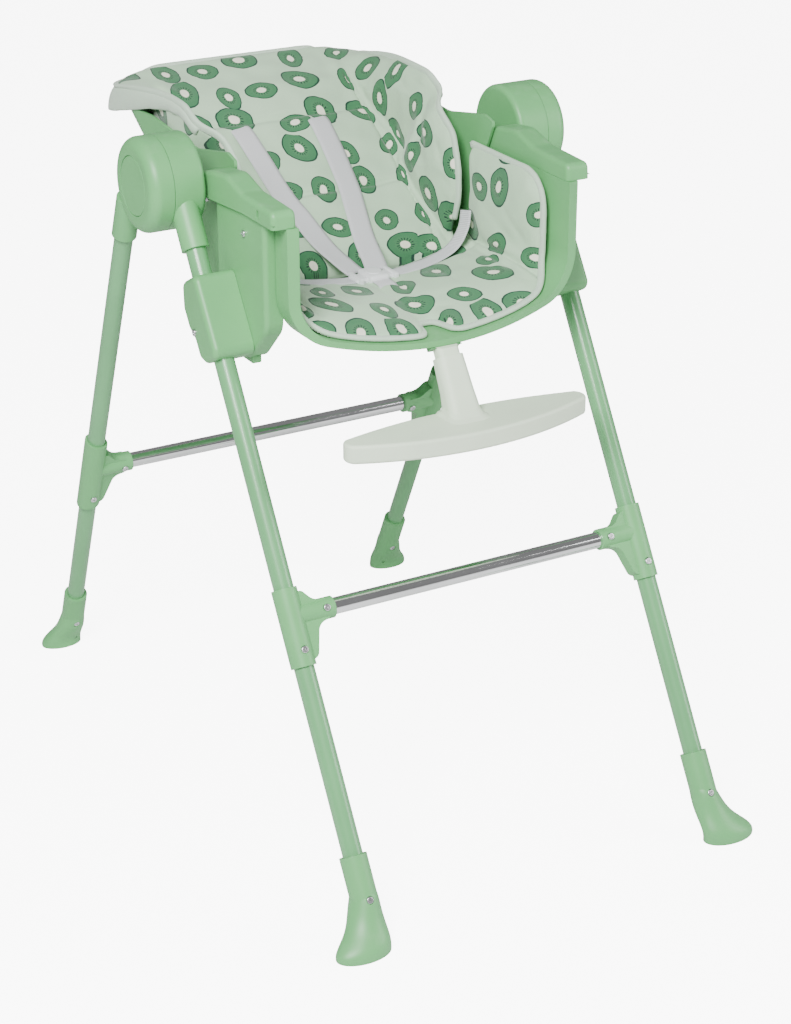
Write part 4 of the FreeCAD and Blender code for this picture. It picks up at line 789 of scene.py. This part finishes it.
def channel(centre, width, depth, low=-9.0, high=9.0, across=True):
    """Sewn channel where a flat coordinate meets the centre, between two values of the other."""
    def cut(u, v):
        main, other = (u, v) if across else (v, u)
        within = smooth(other, low, low + 0.01) * (1 - smooth(other, high - 0.01, high))
        return depth * np.exp(-((main - centre) / width) ** 2) * within
    return cut


class SeatSection:
    """The seat pad's U outline by arc length from the middle of its floor."""

    CORNER = 48 * MM
    BELLY = 566 * MM

    def __init__(self):
        low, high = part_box("seat_pad")
        self.half, self.bottom, self.top = high.x, low.z, high.z
        self.back, self.front = high.y, low.y
        reach = self.BELLY - self.CORNER
        self.centre_x = self.half - self.CORNER
        self.belly_z = self.bottom + self.BELLY
        self.corner_z = self.belly_z - math.sqrt(reach ** 2 - self.centre_x ** 2)
        self.touch = math.asin(self.centre_x / reach)
        self.floor = self.BELLY * self.touch
        self.bend = self.CORNER * (math.pi / 2 - self.touch)
        self.length = self.floor + self.bend + self.top - self.corner_z

    def at(self, arc):
        """Point and inward normal in x and z."""
        side = 1.0 if arc >= 0 else -1.0
        arc = abs(arc)
        if arc <= self.floor:
            angle = arc / self.BELLY
            x, z = self.BELLY * math.sin(angle), self.belly_z - self.BELLY * math.cos(angle)
        elif arc <= self.floor + self.bend:
            angle = self.touch + (arc - self.floor) / self.CORNER
            x = self.centre_x + self.CORNER * math.sin(angle)
            z = self.corner_z - self.CORNER * math.cos(angle)
        else:
            angle = math.pi / 2
            x, z = self.half, self.corner_z + arc - self.floor - self.bend
        return side * x, z, -side * math.sin(angle), math.cos(angle)

    def front_edge(self, arc):
        """Forward limit of the pad: bolsters at the sides, two lobes with a notch between in front."""
        x, z, _, _ = self.at(arc)
        share = abs(x) / self.half
        lobe = self.front + (10 + 22 * share ** 2.2) * MM
        bolster = HUB.y - 187 * MM
        lower = 1 - float(smooth(z, self.bottom + 10 * MM, self.bottom + 56 * MM))
        edge = bolster + (lobe - bolster) * lower
        notch = HUB.y - 197 * MM
        inside = 1 - float(smooth(abs(x), 11 * MM, 24 * MM))
        edge = edge + (notch - edge) * inside
        over = max(0.0, z - (self.top - 42 * MM))
        rounding = 42 * MM - math.sqrt(max(0.0, (42 * MM) ** 2 - over ** 2))
        return edge + rounding


def build_seat_pad(settings):
    """Seat cushion: floor with two front lobes and a bolster up each side."""
    section = SeatSection()
    arcs = np.linspace(-section.length, section.length, 161)
    rows = 47
    outer = np.zeros((len(arcs), rows, 3))
    inner, cloth = np.zeros_like(outer), np.zeros((len(arcs), rows, 2))
    hold = np.zeros((len(arcs), rows))
    full, rim = 17.5 * MM, 5.0 * MM
    for i, arc in enumerate(arcs):
        x, z, nx, nz = section.at(arc)
        front = section.front_edge(arc)
        top_gap = section.length - abs(arc)
        for j in range(rows):
            share = (j / (rows - 1)) ** 0.9
            y = section.back + (front - section.back) * share
            gap = min(top_gap, y - front, section.back - y + 8 * MM)
            crown = 1 - math.exp(-max(gap, 0) / (15 * MM))
            thick = rim + (full - rim) * crown
            outer[i, j] = x, y, z
            inner[i, j] = x + nx * thick, y, z + nz * thick
            cloth[i, j] = arc, y
            hold[i, j] = math.exp(-max(min(top_gap, y - front), 0) / (7 * MM))
    obj, source = shell_mesh("seat_cushion", outer, inner, cloth, hold)
    crease = section.floor + 0.5 * section.bend
    seams = [channel(crease, 4 * MM, 5.5 * MM), channel(-crease, 4 * MM, 5.5 * MM),
             channel(HUB.y - 62 * MM, 4.5 * MM, 3.5 * MM, -crease, crease, across=False)]
    fill_pad(obj, source, settings, seams, 1.7 * MM)
    finish_piece(obj, MATERIALS["printed_cloth"], "seat", "pad_fabric", "seat_pad")
    return section


def seat_binding(section, settings):
    """Bound edge that runs up both bolsters and round the front lobes, with its stitches."""
    lift, corner = 2.6 * MM, section.length
    ends = np.linspace(section.back + 2 * MM, section.front_edge(corner) + 4 * MM, 16)[:-1]
    places = [(-corner, y, -1 * MM) for y in ends]
    for arc in np.linspace(-corner, corner, 241):
        places.append((arc, section.front_edge(arc), lift * section.at(arc)[3]))
    places += [(corner, y, -1 * MM) for y in ends[::-1]]
    path, normals = [], []
    for arc, y, rise in places:
        x, z, nx, nz = section.at(arc)
        path.append((x + nx * lift, y, z + rise))
        normals.append((nx, 0, nz))
    return bound_edge("seat_binding", np.array(path), np.array(normals), 3.3 * MM, settings, "seat")


def resample(path, normals, step):
    """Evenly spaced path with its normals, smoothed a little."""
    keep = [0] + [k for k in range(1, len(path)) if np.linalg.norm(path[k] - path[k - 1]) > 1e-5]
    path, normals = path[keep], normals[keep]
    lengths = run_of(path)
    wanted = np.linspace(0, lengths[-1], int(lengths[-1] / step) + 2)
    path, normals = between(wanted, lengths, path), between(wanted, lengths, normals)
    for _ in range(6):
        path[1:-1] = 0.25 * path[:-2] + 0.5 * path[1:-1] + 0.25 * path[2:]
        normals[1:-1] = 0.25 * normals[:-2] + 0.5 * normals[1:-1] + 0.25 * normals[2:]
    normals /= np.linalg.norm(normals, axis=1)[:, None]
    return path, normals, wanted


def bound_edge(name, path, normals, half_thick, settings, body):
    """Flat tape folded over an edge, and the row of stitches on its inner face."""
    half_width = settings.binding / 2
    path, normals, along = resample(path, normals, 4 * MM)
    _, side = directions(path, normals)
    ring = 16
    sections, cloth = [], []
    for point, across, normal, distance in zip(path, side, normals, along):
        pucker = 1 + 0.05 * math.sin(distance * 2 * math.pi / 0.023) + 0.03 * math.sin(distance * 611)
        section = []
        for k in range(ring):
            angle = 2 * math.pi * k / ring
            wide = half_width * np.sign(math.cos(angle)) * abs(math.cos(angle)) ** 0.8
            thick = half_thick * np.sign(math.sin(angle)) * abs(math.sin(angle)) ** 0.8
            section.append(point + across * wide + normal * thick * pucker)
            cloth.append((half_width * math.cos(angle) * 2, distance, 0))
        sections.append(section)
    vertices, faces = sweep(sections)
    obj = new_object(name, vertices, faces)
    store(obj.data, "cloth", cloth)
    outward(obj)
    finish_piece(obj, MATERIALS["plain_cloth"], body, "pad_fabric")
    row = path + side * half_width * 0.45 + normals * half_thick * 0.93
    other = path + side * half_width * 0.45 - normals * half_thick * 0.93
    stitch_row(name + "_stitches", [row, other], settings, body)
    return obj


class BackSection:
    """Backrest pad outline across the back, by height along the backrest."""

    REAR = -20 * MM
    ROUND = 26 * MM
    ALONG = np.array([0, 24, 38, 60, 95, 150, 210, 245, 278, 310, 340, 370, 385, 398]) * MM
    WING = np.array([1, 4, 56, 89, 117, 116, 107, 88, 72, 59, 48, 40, 30, 20]) * MM
    LEAN = np.radians([90, 90, 90, 90, 90, 90, 90, 86, 75, 58, 38, 10, -12, -35])

    def at(self, along):
        """Half width of the flat back, lean and length of the wing, and the outer edge."""
        wing = float(np.interp(along, self.ALONG, self.WING))
        lean = float(np.interp(along, self.ALONG, self.LEAN))
        wide = 157 * MM + 22 * MM * float(smooth(along, 138 * MM, 180 * MM))
        wide += 8 * MM * float(smooth(along, 240 * MM, 330 * MM))
        over = max(0.0, along - 352 * MM)
        wide -= 46 * MM - math.sqrt(max(0.0, (46 * MM) ** 2 - over ** 2))
        flat = wide - self.ROUND * math.sin(abs(lean)) - wing * math.cos(lean)
        return flat, lean, wing, wide

    def point(self, along, arc):
        """Sideways and outward place on the outer surface with its inward normal."""
        flat, lean, _, _ = self.at(along)
        side, arc = (1.0 if arc >= 0 else -1.0), abs(arc)
        turn = 1.0 if lean >= 0 else -1.0
        bend = self.ROUND * abs(lean)
        if arc <= flat:
            return side * arc, self.REAR, 0.0, 1.0
        angle = min(arc - flat, bend) / self.ROUND
        x = flat + self.ROUND * math.sin(angle)
        out = self.REAR + turn * self.ROUND * (1 - math.cos(angle))
        if arc > flat + bend:
            x += (arc - flat - bend) * math.cos(angle)
            out += turn * (arc - flat - bend) * math.sin(angle)
        return side * x, out, -side * turn * math.sin(angle), math.cos(angle)

    def reach(self, along):
        flat, lean, wing, _ = self.at(along)
        return flat + self.ROUND * abs(lean) + wing


def build_back_pad(settings):
    """Backrest cushion: flat back, two wings and a head end that droops over the shell."""
    section = BackSection()
    heights = np.concatenate([np.linspace(3, 150, 45), np.linspace(153, 398, 62)]) * MM
    columns = 131
    outer = np.zeros((len(heights), columns, 3))
    inner, cloth = np.zeros_like(outer), np.zeros((len(heights), columns, 2))
    hold = np.zeros((len(heights), columns))
    full, rim = 19.0 * MM, 6.0 * MM
    for i, along in enumerate(heights):
        reach = section.reach(along)
        for j in range(columns):
            share = 2 * j / (columns - 1) - 1
            arc = reach * share
            x, out, nx, no = section.point(along, arc)
            gap = min(reach - abs(arc), HEAD_END - along)
            crown = 1 - math.exp(-max(gap, 0) / (16 * MM))
            thick = rim + (full - rim) * crown
            low = back_point(x, along, out)
            outer[i, j] = low
            inner[i, j] = low + Vector((nx, 0, 0)) * thick + BACK_OUT * (no * thick)
            cloth[i, j] = arc, along
            hold[i, j] = math.exp(-max(gap, 0) / (7 * MM))
    obj, source = shell_mesh("backrest_cushion", outer, inner, cloth, hold)
    fold = 139 * MM
    seams = [channel(fold, 4.5 * MM, 6 * MM, 20 * MM, 330 * MM),
             channel(-fold, 4.5 * MM, 6 * MM, 20 * MM, 330 * MM),
             channel(128 * MM, 4.5 * MM, 4 * MM, -fold, fold, across=False),
             channel(262 * MM, 5 * MM, 4 * MM, -fold, fold, across=False)]
    fill_pad(obj, source, settings, seams, 2.0 * MM)
    finish_piece(obj, MATERIALS["printed_cloth"], "backrest", "pad_fabric", "backrest_pad")
    return section


def back_edge_path(section, low):
    """Edge of the backrest pad from a height up one wing, round the head end and down the other."""
    wing = [(along, -section.reach(along)) for along in np.linspace(low, HEAD_END, 90)]
    top = section.reach(HEAD_END)
    head = [(HEAD_END, arc) for arc in np.linspace(-top, top, 60)[1:-1]]
    path, normals = [], []
    for along, arc in wing + head:
        x, out, nx, no = section.point(along, arc)
        inward = Vector((nx, 0, 0)) + BACK_OUT * no
        path.append(tuple(back_point(x, along, out) + inward * EDGE_LIFT))
        normals.append(tuple(inward))
    mirror = np.array((-1, 1, 1))
    path, normals = np.array(path), np.array(normals)
    count = len(wing)
    return (np.vstack([path, path[:count][::-1] * mirror]),
            np.vstack([normals, normals[:count][::-1] * mirror]))


def back_binding(section, settings):
    """Bound edge round the backrest cushion."""
    path, normals = back_edge_path(section, 30 * MM)
    return bound_edge("backrest_binding", path, normals, 3.6 * MM, settings, "backrest")


def hood_flap(section):
    """Lining pocket that folds over the shell's edge behind the wings and the head end."""
    path, normals = back_edge_path(section, 168 * MM)
    path, normals, along = resample(path, normals, 6 * MM)
    total = along[-1]
    sections, cloth = [], []
    down = -np.array(tuple(BACK_OUT))
    for point, distance in zip(path, along):
        share = min(distance, total - distance) / (total / 2)
        drop = (16 + 32 * float(smooth(share, 0.05, 0.55))) * MM
        local = Vector(point) - PIVOT
        height = local.dot(BACK_UP)
        around = Vector((local.x, 0, 0)) + BACK_UP * max(0.0, height - 300 * MM) * 1.6
        out_dir = np.array(tuple(around.normalized()))
        ripple = 0.9 * MM * math.sin(distance * 2 * math.pi / 0.047) + 0.6 * MM * math.sin(distance * 231)
        outline = ((1.5, 0.02), (4.8, 0.12), (6.4, 0.35), (6.2, 0.65), (3.4, 1.0))
        outer_side = [point + out_dir * (a * MM + ripple * b) + down * drop * b for a, b in outline]
        inner_side = [p - out_dir * 1.3 * MM for p in outer_side[::-1]]
        sections.append(outer_side + inner_side)
        cloth += [(b * drop, distance, 0) for _, b in outline]
        cloth += [(b * drop, distance, 0) for _, b in outline[::-1]]
    vertices, faces = sweep(sections)
    obj = new_object("hood_lining", vertices, faces)
    store(obj.data, "cloth", cloth)
    outward(obj)
    subdivide = obj.modifiers.new("subdivide", "SUBSURF")
    subdivide.levels = subdivide.render_levels = 1
    evaluated(obj)
    return finish_piece(obj, MATERIALS["plain_cloth"], "backrest", "pad_fabric")


# ------------------------------------------------------------------ harness
def flat_strap(name, points, normals, width, thick, material):
    """Flat webbing along points, lying square to the given normals."""
    path = spline(points, 60)
    steps = np.linspace(0, len(normals) - 1, len(path))
    ups = between(steps, range(len(normals)), np.array(normals, float))
    tangent, side = directions(path, ups)
    ups = np.cross(side, tangent)
    distance = run_of(path)
    outline = []
    for sign in (-1, 1):
        for share in (np.linspace(-1, 1, 7) if sign < 0 else np.linspace(1, -1, 7)):
            edge = 1 - 0.55 * max(0, abs(share) - 0.86) / 0.14
            outline.append((share * width / 2, sign * thick / 2 * edge, share * width / 2))
    sections, cloth = [], []
    for point, across, up, run in zip(path, side, ups, distance):
        sections.append([point + across * a + up * b for a, b, _ in outline])
        cloth += [(u, run, 0) for _, _, u in outline]
    vertices, faces = sweep(sections)
    obj = new_object(name, vertices, faces)
    store(obj.data, "cloth", cloth)
    outward(obj)
    obj.data.materials.append(MATERIALS[material])
    return obj


def rounded_block(name, centre, size, radius):
    """Moulded block with rounded edges."""
    mesh = bpy.data.meshes.new(name)
    work = bmesh.new()
    bmesh.ops.create_cube(work, size=1.0)
    bmesh.ops.scale(work, vec=size, verts=work.verts)
    bmesh.ops.bevel(work, geom=list(work.edges), offset=radius, segments=4, profile=0.5, affect="EDGES")
    bmesh.ops.translate(work, vec=centre, verts=work.verts)
    work.to_mesh(mesh)
    work.free()
    return linked(name, mesh)


def joined(objects, name):
    """One object from several."""
    work = bmesh.new()
    for obj in objects:
        work.from_mesh(obj.data)
    mesh = bpy.data.meshes.new(name)
    work.to_mesh(mesh)
    work.free()
    for obj in objects:
        old = obj.data
        bpy.data.objects.remove(obj)
        bpy.data.meshes.remove(old)
    return linked(name, mesh)


def build_buckle():
    """Bar buckle: a wide body with a tongue slot each side and a raised centre round the button."""
    low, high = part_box("buckle")
    middle = (low + high) / 2
    size = high - low
    body = rounded_block("buckle_body", middle - Vector((0, 0, size.z * 0.14)),
                         (size.x, size.y * 0.62, size.z * 0.70), 3.5 * MM)
    crown = rounded_block("buckle_crown", middle, (size.x * 0.46, size.y * 0.98, size.z * 0.98), 4.5 * MM)
    parts = [body, crown]
    for sign in (-1, 1):
        place = middle + Vector((sign * size.x * 0.40, 0, size.z * 0.05))
        parts.append(rounded_block("buckle_slot", place,
                                   (size.x * 0.10, size.y * 0.86, size.z * 0.62), 1.6 * MM))
    buckle = joined(parts, "bar_buckle")
    return finish_piece(buckle, MATERIALS["buckle_plastic"], "seat", "buckle_grey", "buckle")


def build_straps(settings):
    """Waist, crotch and shoulder straps laid on the pads."""
    low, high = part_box("buckle")
    middle = (low + high) / 2
    thick = 1.7 * MM
    for side, sign in (("left", 1), ("right", -1)):
        start = Vector((sign * (high.x - 2 * MM), middle.y, middle.z - 1 * MM))
        steps = ((0, 0, 0), (30, 3, 2), (66, 9, 6), (96, 15, 16), (114, 20, 36), (121, 25, 58))
        points = [start + Vector((sign * x, y, z)) * MM for x, y, z in steps]
        normals = [(0, 0, 1), (0, 0, 1), (-sign * 0.15, 0, 1), (-sign * 0.5, 0, 1), (-sign, 0, 0.4),
                   (-sign, 0, 0.15)]
        strap = flat_strap("waist_webbing_" + side, points, normals, settings.webbing, thick, "webbing")
        finish_piece(strap, MATERIALS["webbing"], "seat", "webbing", "waist_strap_" + side)
    web_low, web_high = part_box("crotch_strap")
    rear = Vector((0, low.y + 2 * MM, middle.z))
    slot_y = web_low.y + 1 * MM
    points = [rear] + [Vector((0, y, z)) for y, z in (
        (rear.y - 10 * MM, web_high.z + 4 * MM), (slot_y + 12 * MM, web_high.z + 3 * MM),
        (slot_y + 2 * MM, web_high.z - 2 * MM), (slot_y, web_high.z - 14 * MM), (slot_y, web_low.z))]
    normals = [(0, 0, 1), (0, -0.1, 1), (0, -0.4, 1), (0, -1, 0.5), (0, -1, 0), (0, -1, 0)]
    crotch = flat_strap("crotch_webbing", points, normals, settings.webbing, thick, "smooth_web")
    finish_piece(crotch, MATERIALS["smooth_web"], "seat", "webbing", "crotch_strap")
    for side, sign in (("left", 1), ("right", -1)):
        start = Vector((sign * 15 * MM, high.y - 1 * MM, middle.z + 1 * MM))
        over = settings.swell
        lying = ((30, 40, 3), (40, 90, 3), (48, 130, 2), (54, 200, 3), (57, 248, 0))
        points = [start, start + Vector((sign * 5, 18, 6)) * MM]
        points += [back_point(sign * x * MM, along * MM, over + out * MM) for x, along, out in lying]
        points.append(back_point(sign * 58 * MM, 266 * MM, -6 * MM))
        normals = [(0, 0, 1), (0, 0, 1)] + [tuple(BACK_OUT)] * 6
        strap = flat_strap("shoulder_webbing_" + side, points, normals, 30 * MM, 2.2 * MM, "smooth_web")
        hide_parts("shoulder_strap_" + side)
        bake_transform(strap)


# ------------------------------------------------------------------ stage
TARGET = Vector((0.06994, HUB.y, 0.29161))
LIT = Vector((0.0, 0.0, 0.5))
FLOOR_GLOW = 0.26
FLOOR_REACH = 40.0


def build_camera(stage):
    """Camera aimed at its target from the stage's two angles."""
    az, el = stage.azimuth, stage.elevation
    back = Vector((math.sin(az) * math.cos(el), -math.cos(az) * math.cos(el), math.sin(el)))
    data = bpy.data.cameras.new("camera")
    data.lens = stage.lens
    data.sensor_width = 36.0
    data.clip_start, data.clip_end = 0.1, 60.0
    camera = linked("camera", data)
    camera.location = TARGET + back * stage.distance
    camera.rotation_mode = "QUATERNION"
    camera.rotation_quaternion = (-back).to_track_quat("-Z", "Y")
    bpy.context.scene.camera = camera


def add_area(name, place, size, power):
    """Rectangular light aimed at the chair."""
    data = bpy.data.lights.new(name, "AREA")
    data.shape = "RECTANGLE"
    data.size, data.size_y = size
    data.energy = power
    light = linked(name, data)
    light.location = place
    light.rotation_mode = "QUATERNION"
    light.rotation_quaternion = (LIT - Vector(place)).to_track_quat("-Z", "Y")


def build_floor(stage):
    """Pale seamless floor that runs out past the view."""
    reach = FLOOR_REACH
    corners = [(-reach, -reach, 0), (reach, -reach, 0), (reach, reach, 0), (-reach, reach, 0)]
    obj = new_object("studio_floor", corners, [(0, 1, 2, 3)])
    material, tree, shader = new_material("studio_floor")
    link = tree.tree.links.new
    place = tree.add("ShaderNodeTexCoord").outputs["Object"]
    cloud = tree.add("ShaderNodeTexNoise", {"Vector": place, "Scale": 1.5})
    pale = tree.mix(cloud.outputs["Fac"], rgba((0.84,) * 3), rgba((0.88,) * 3))
    link(pale, shader.inputs["Base Color"])
    seen = tree.add("ShaderNodeLightPath").outputs["Is Camera Ray"]
    glow = tree.math("MULTIPLY", seen, stage.backdrop * FLOOR_GLOW)
    link(glow, shader.inputs["Emission Strength"])
    set_constants(shader, Roughness=0.7, Specular_IOR_Level=0.2, Emission_Color=(1.0, 1.0, 1.0, 1.0))
    obj.data.materials.append(material)


def build_world(stage):
    """Even soft surround, brighter where it is seen directly."""
    world = bpy.data.worlds.new("studio")
    bpy.context.scene.world = world
    world.use_nodes = True
    background = world.node_tree.nodes["Background"]
    background.inputs["Color"].default_value = (1.0, 1.0, 1.0, 1.0)
    tree = Tree(world.node_tree)
    seen = tree.add("ShaderNodeLightPath").outputs["Is Camera Ray"]
    level = tree.add("ShaderNodeMapRange", {"Value": seen, "To Min": stage.sky, "To Max": stage.backdrop})
    world.node_tree.links.new(level.outputs["Result"], background.inputs["Strength"])


# ------------------------------------------------------------------ operators
class HIGHCHAIR_OT_finishes(Operator):
    """Make the finishes and put them on the hard pieces"""

    bl_idname = "high_chair.finishes"
    bl_label = "Finishes"

    def execute(self, context):
        build_plastics(context.scene.high_chair_finish)
        build_paint(context.scene.high_chair_finish)
        build_metals()
        build_fabrics(context.scene.high_chair_fabric)
        dress_frame()
        return {"FINISHED"}


class HIGHCHAIR_OT_seat_cushion(Operator):
    """Sew the seat cushion with its bound edge"""

    bl_idname = "high_chair.seat_cushion"
    bl_label = "Seat cushion"

    def execute(self, context):
        fabric = context.scene.high_chair_fabric
        seat_binding(build_seat_pad(fabric), fabric)
        return {"FINISHED"}


class HIGHCHAIR_OT_backrest_cushion(Operator):
    """Sew the backrest cushion with its bound edge and lining"""

    bl_idname = "high_chair.backrest_cushion"
    bl_label = "Backrest cushion"

    def execute(self, context):
        fabric = context.scene.high_chair_fabric
        section = build_back_pad(fabric)
        back_binding(section, fabric)
        hood_flap(section)
        return {"FINISHED"}


class HIGHCHAIR_OT_harness(Operator):
    """Lay the harness on the cushions"""

    bl_idname = "high_chair.harness"
    bl_label = "Harness"

    def execute(self, context):
        build_buckle()
        build_straps(context.scene.high_chair_fabric)
        return {"FINISHED"}


class HIGHCHAIR_OT_stage(Operator):
    """Set the floor, lights and camera"""

    bl_idname = "high_chair.stage"
    bl_label = "Stage"

    def execute(self, context):
        stage = context.scene.high_chair_stage
        build_camera(stage)
        build_floor(stage)
        build_world(stage)
        add_area("key", (-1.9, -1.9, 2.9), (1.4, 1.4), stage.key)
        add_area("fill", (2.6, -1.9, 1.6), (1.4, 2.2), stage.fill)
        return {"FINISHED"}


class HIGHCHAIR_PT_sidebar(Panel):
    """Lists the steps and sizes"""

    bl_idname = "HIGHCHAIR_PT_sidebar"
    bl_label = "High Chair"
    bl_space_type = "VIEW_3D"
    bl_region_type = "UI"
    bl_category = "High Chair"

    def draw(self, context):
        for step in STEPS:
            self.layout.operator(step.bl_idname)
        for settings in (context.scene.high_chair_fabric, context.scene.high_chair_finish,
                         context.scene.high_chair_stage):
            for name in settings.__annotations__:
                self.layout.prop(settings, name)


STEPS = (HIGHCHAIR_OT_stage, HIGHCHAIR_OT_finishes, HIGHCHAIR_OT_seat_cushion, HIGHCHAIR_OT_backrest_cushion,
         HIGHCHAIR_OT_harness)
CLASSES = (HighChairFabric, HighChairFinish, HighChairStage) + STEPS + (HIGHCHAIR_PT_sidebar,)


def register():
    for cls in CLASSES:
        bpy.utils.register_class(cls)
    bpy.types.Scene.high_chair_fabric = PointerProperty(type=HighChairFabric)
    bpy.types.Scene.high_chair_finish = PointerProperty(type=HighChairFinish)
    bpy.types.Scene.high_chair_stage = PointerProperty(type=HighChairStage)


def unregister():
    del bpy.types.Scene.high_chair_stage
    del bpy.types.Scene.high_chair_finish
    del bpy.types.Scene.high_chair_fabric
    for cls in reversed(CLASSES):
        bpy.utils.unregister_class(cls)


def write_size():
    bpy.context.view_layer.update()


def main():
    register()
    bpy.ops.high_chair.stage()
    bpy.ops.high_chair.finishes()
    bpy.ops.high_chair.seat_cushion()
    bpy.ops.high_chair.backrest_cushion()
    bpy.ops.high_chair.harness()
    write_size()


if __name__ == "__main__":
    main()
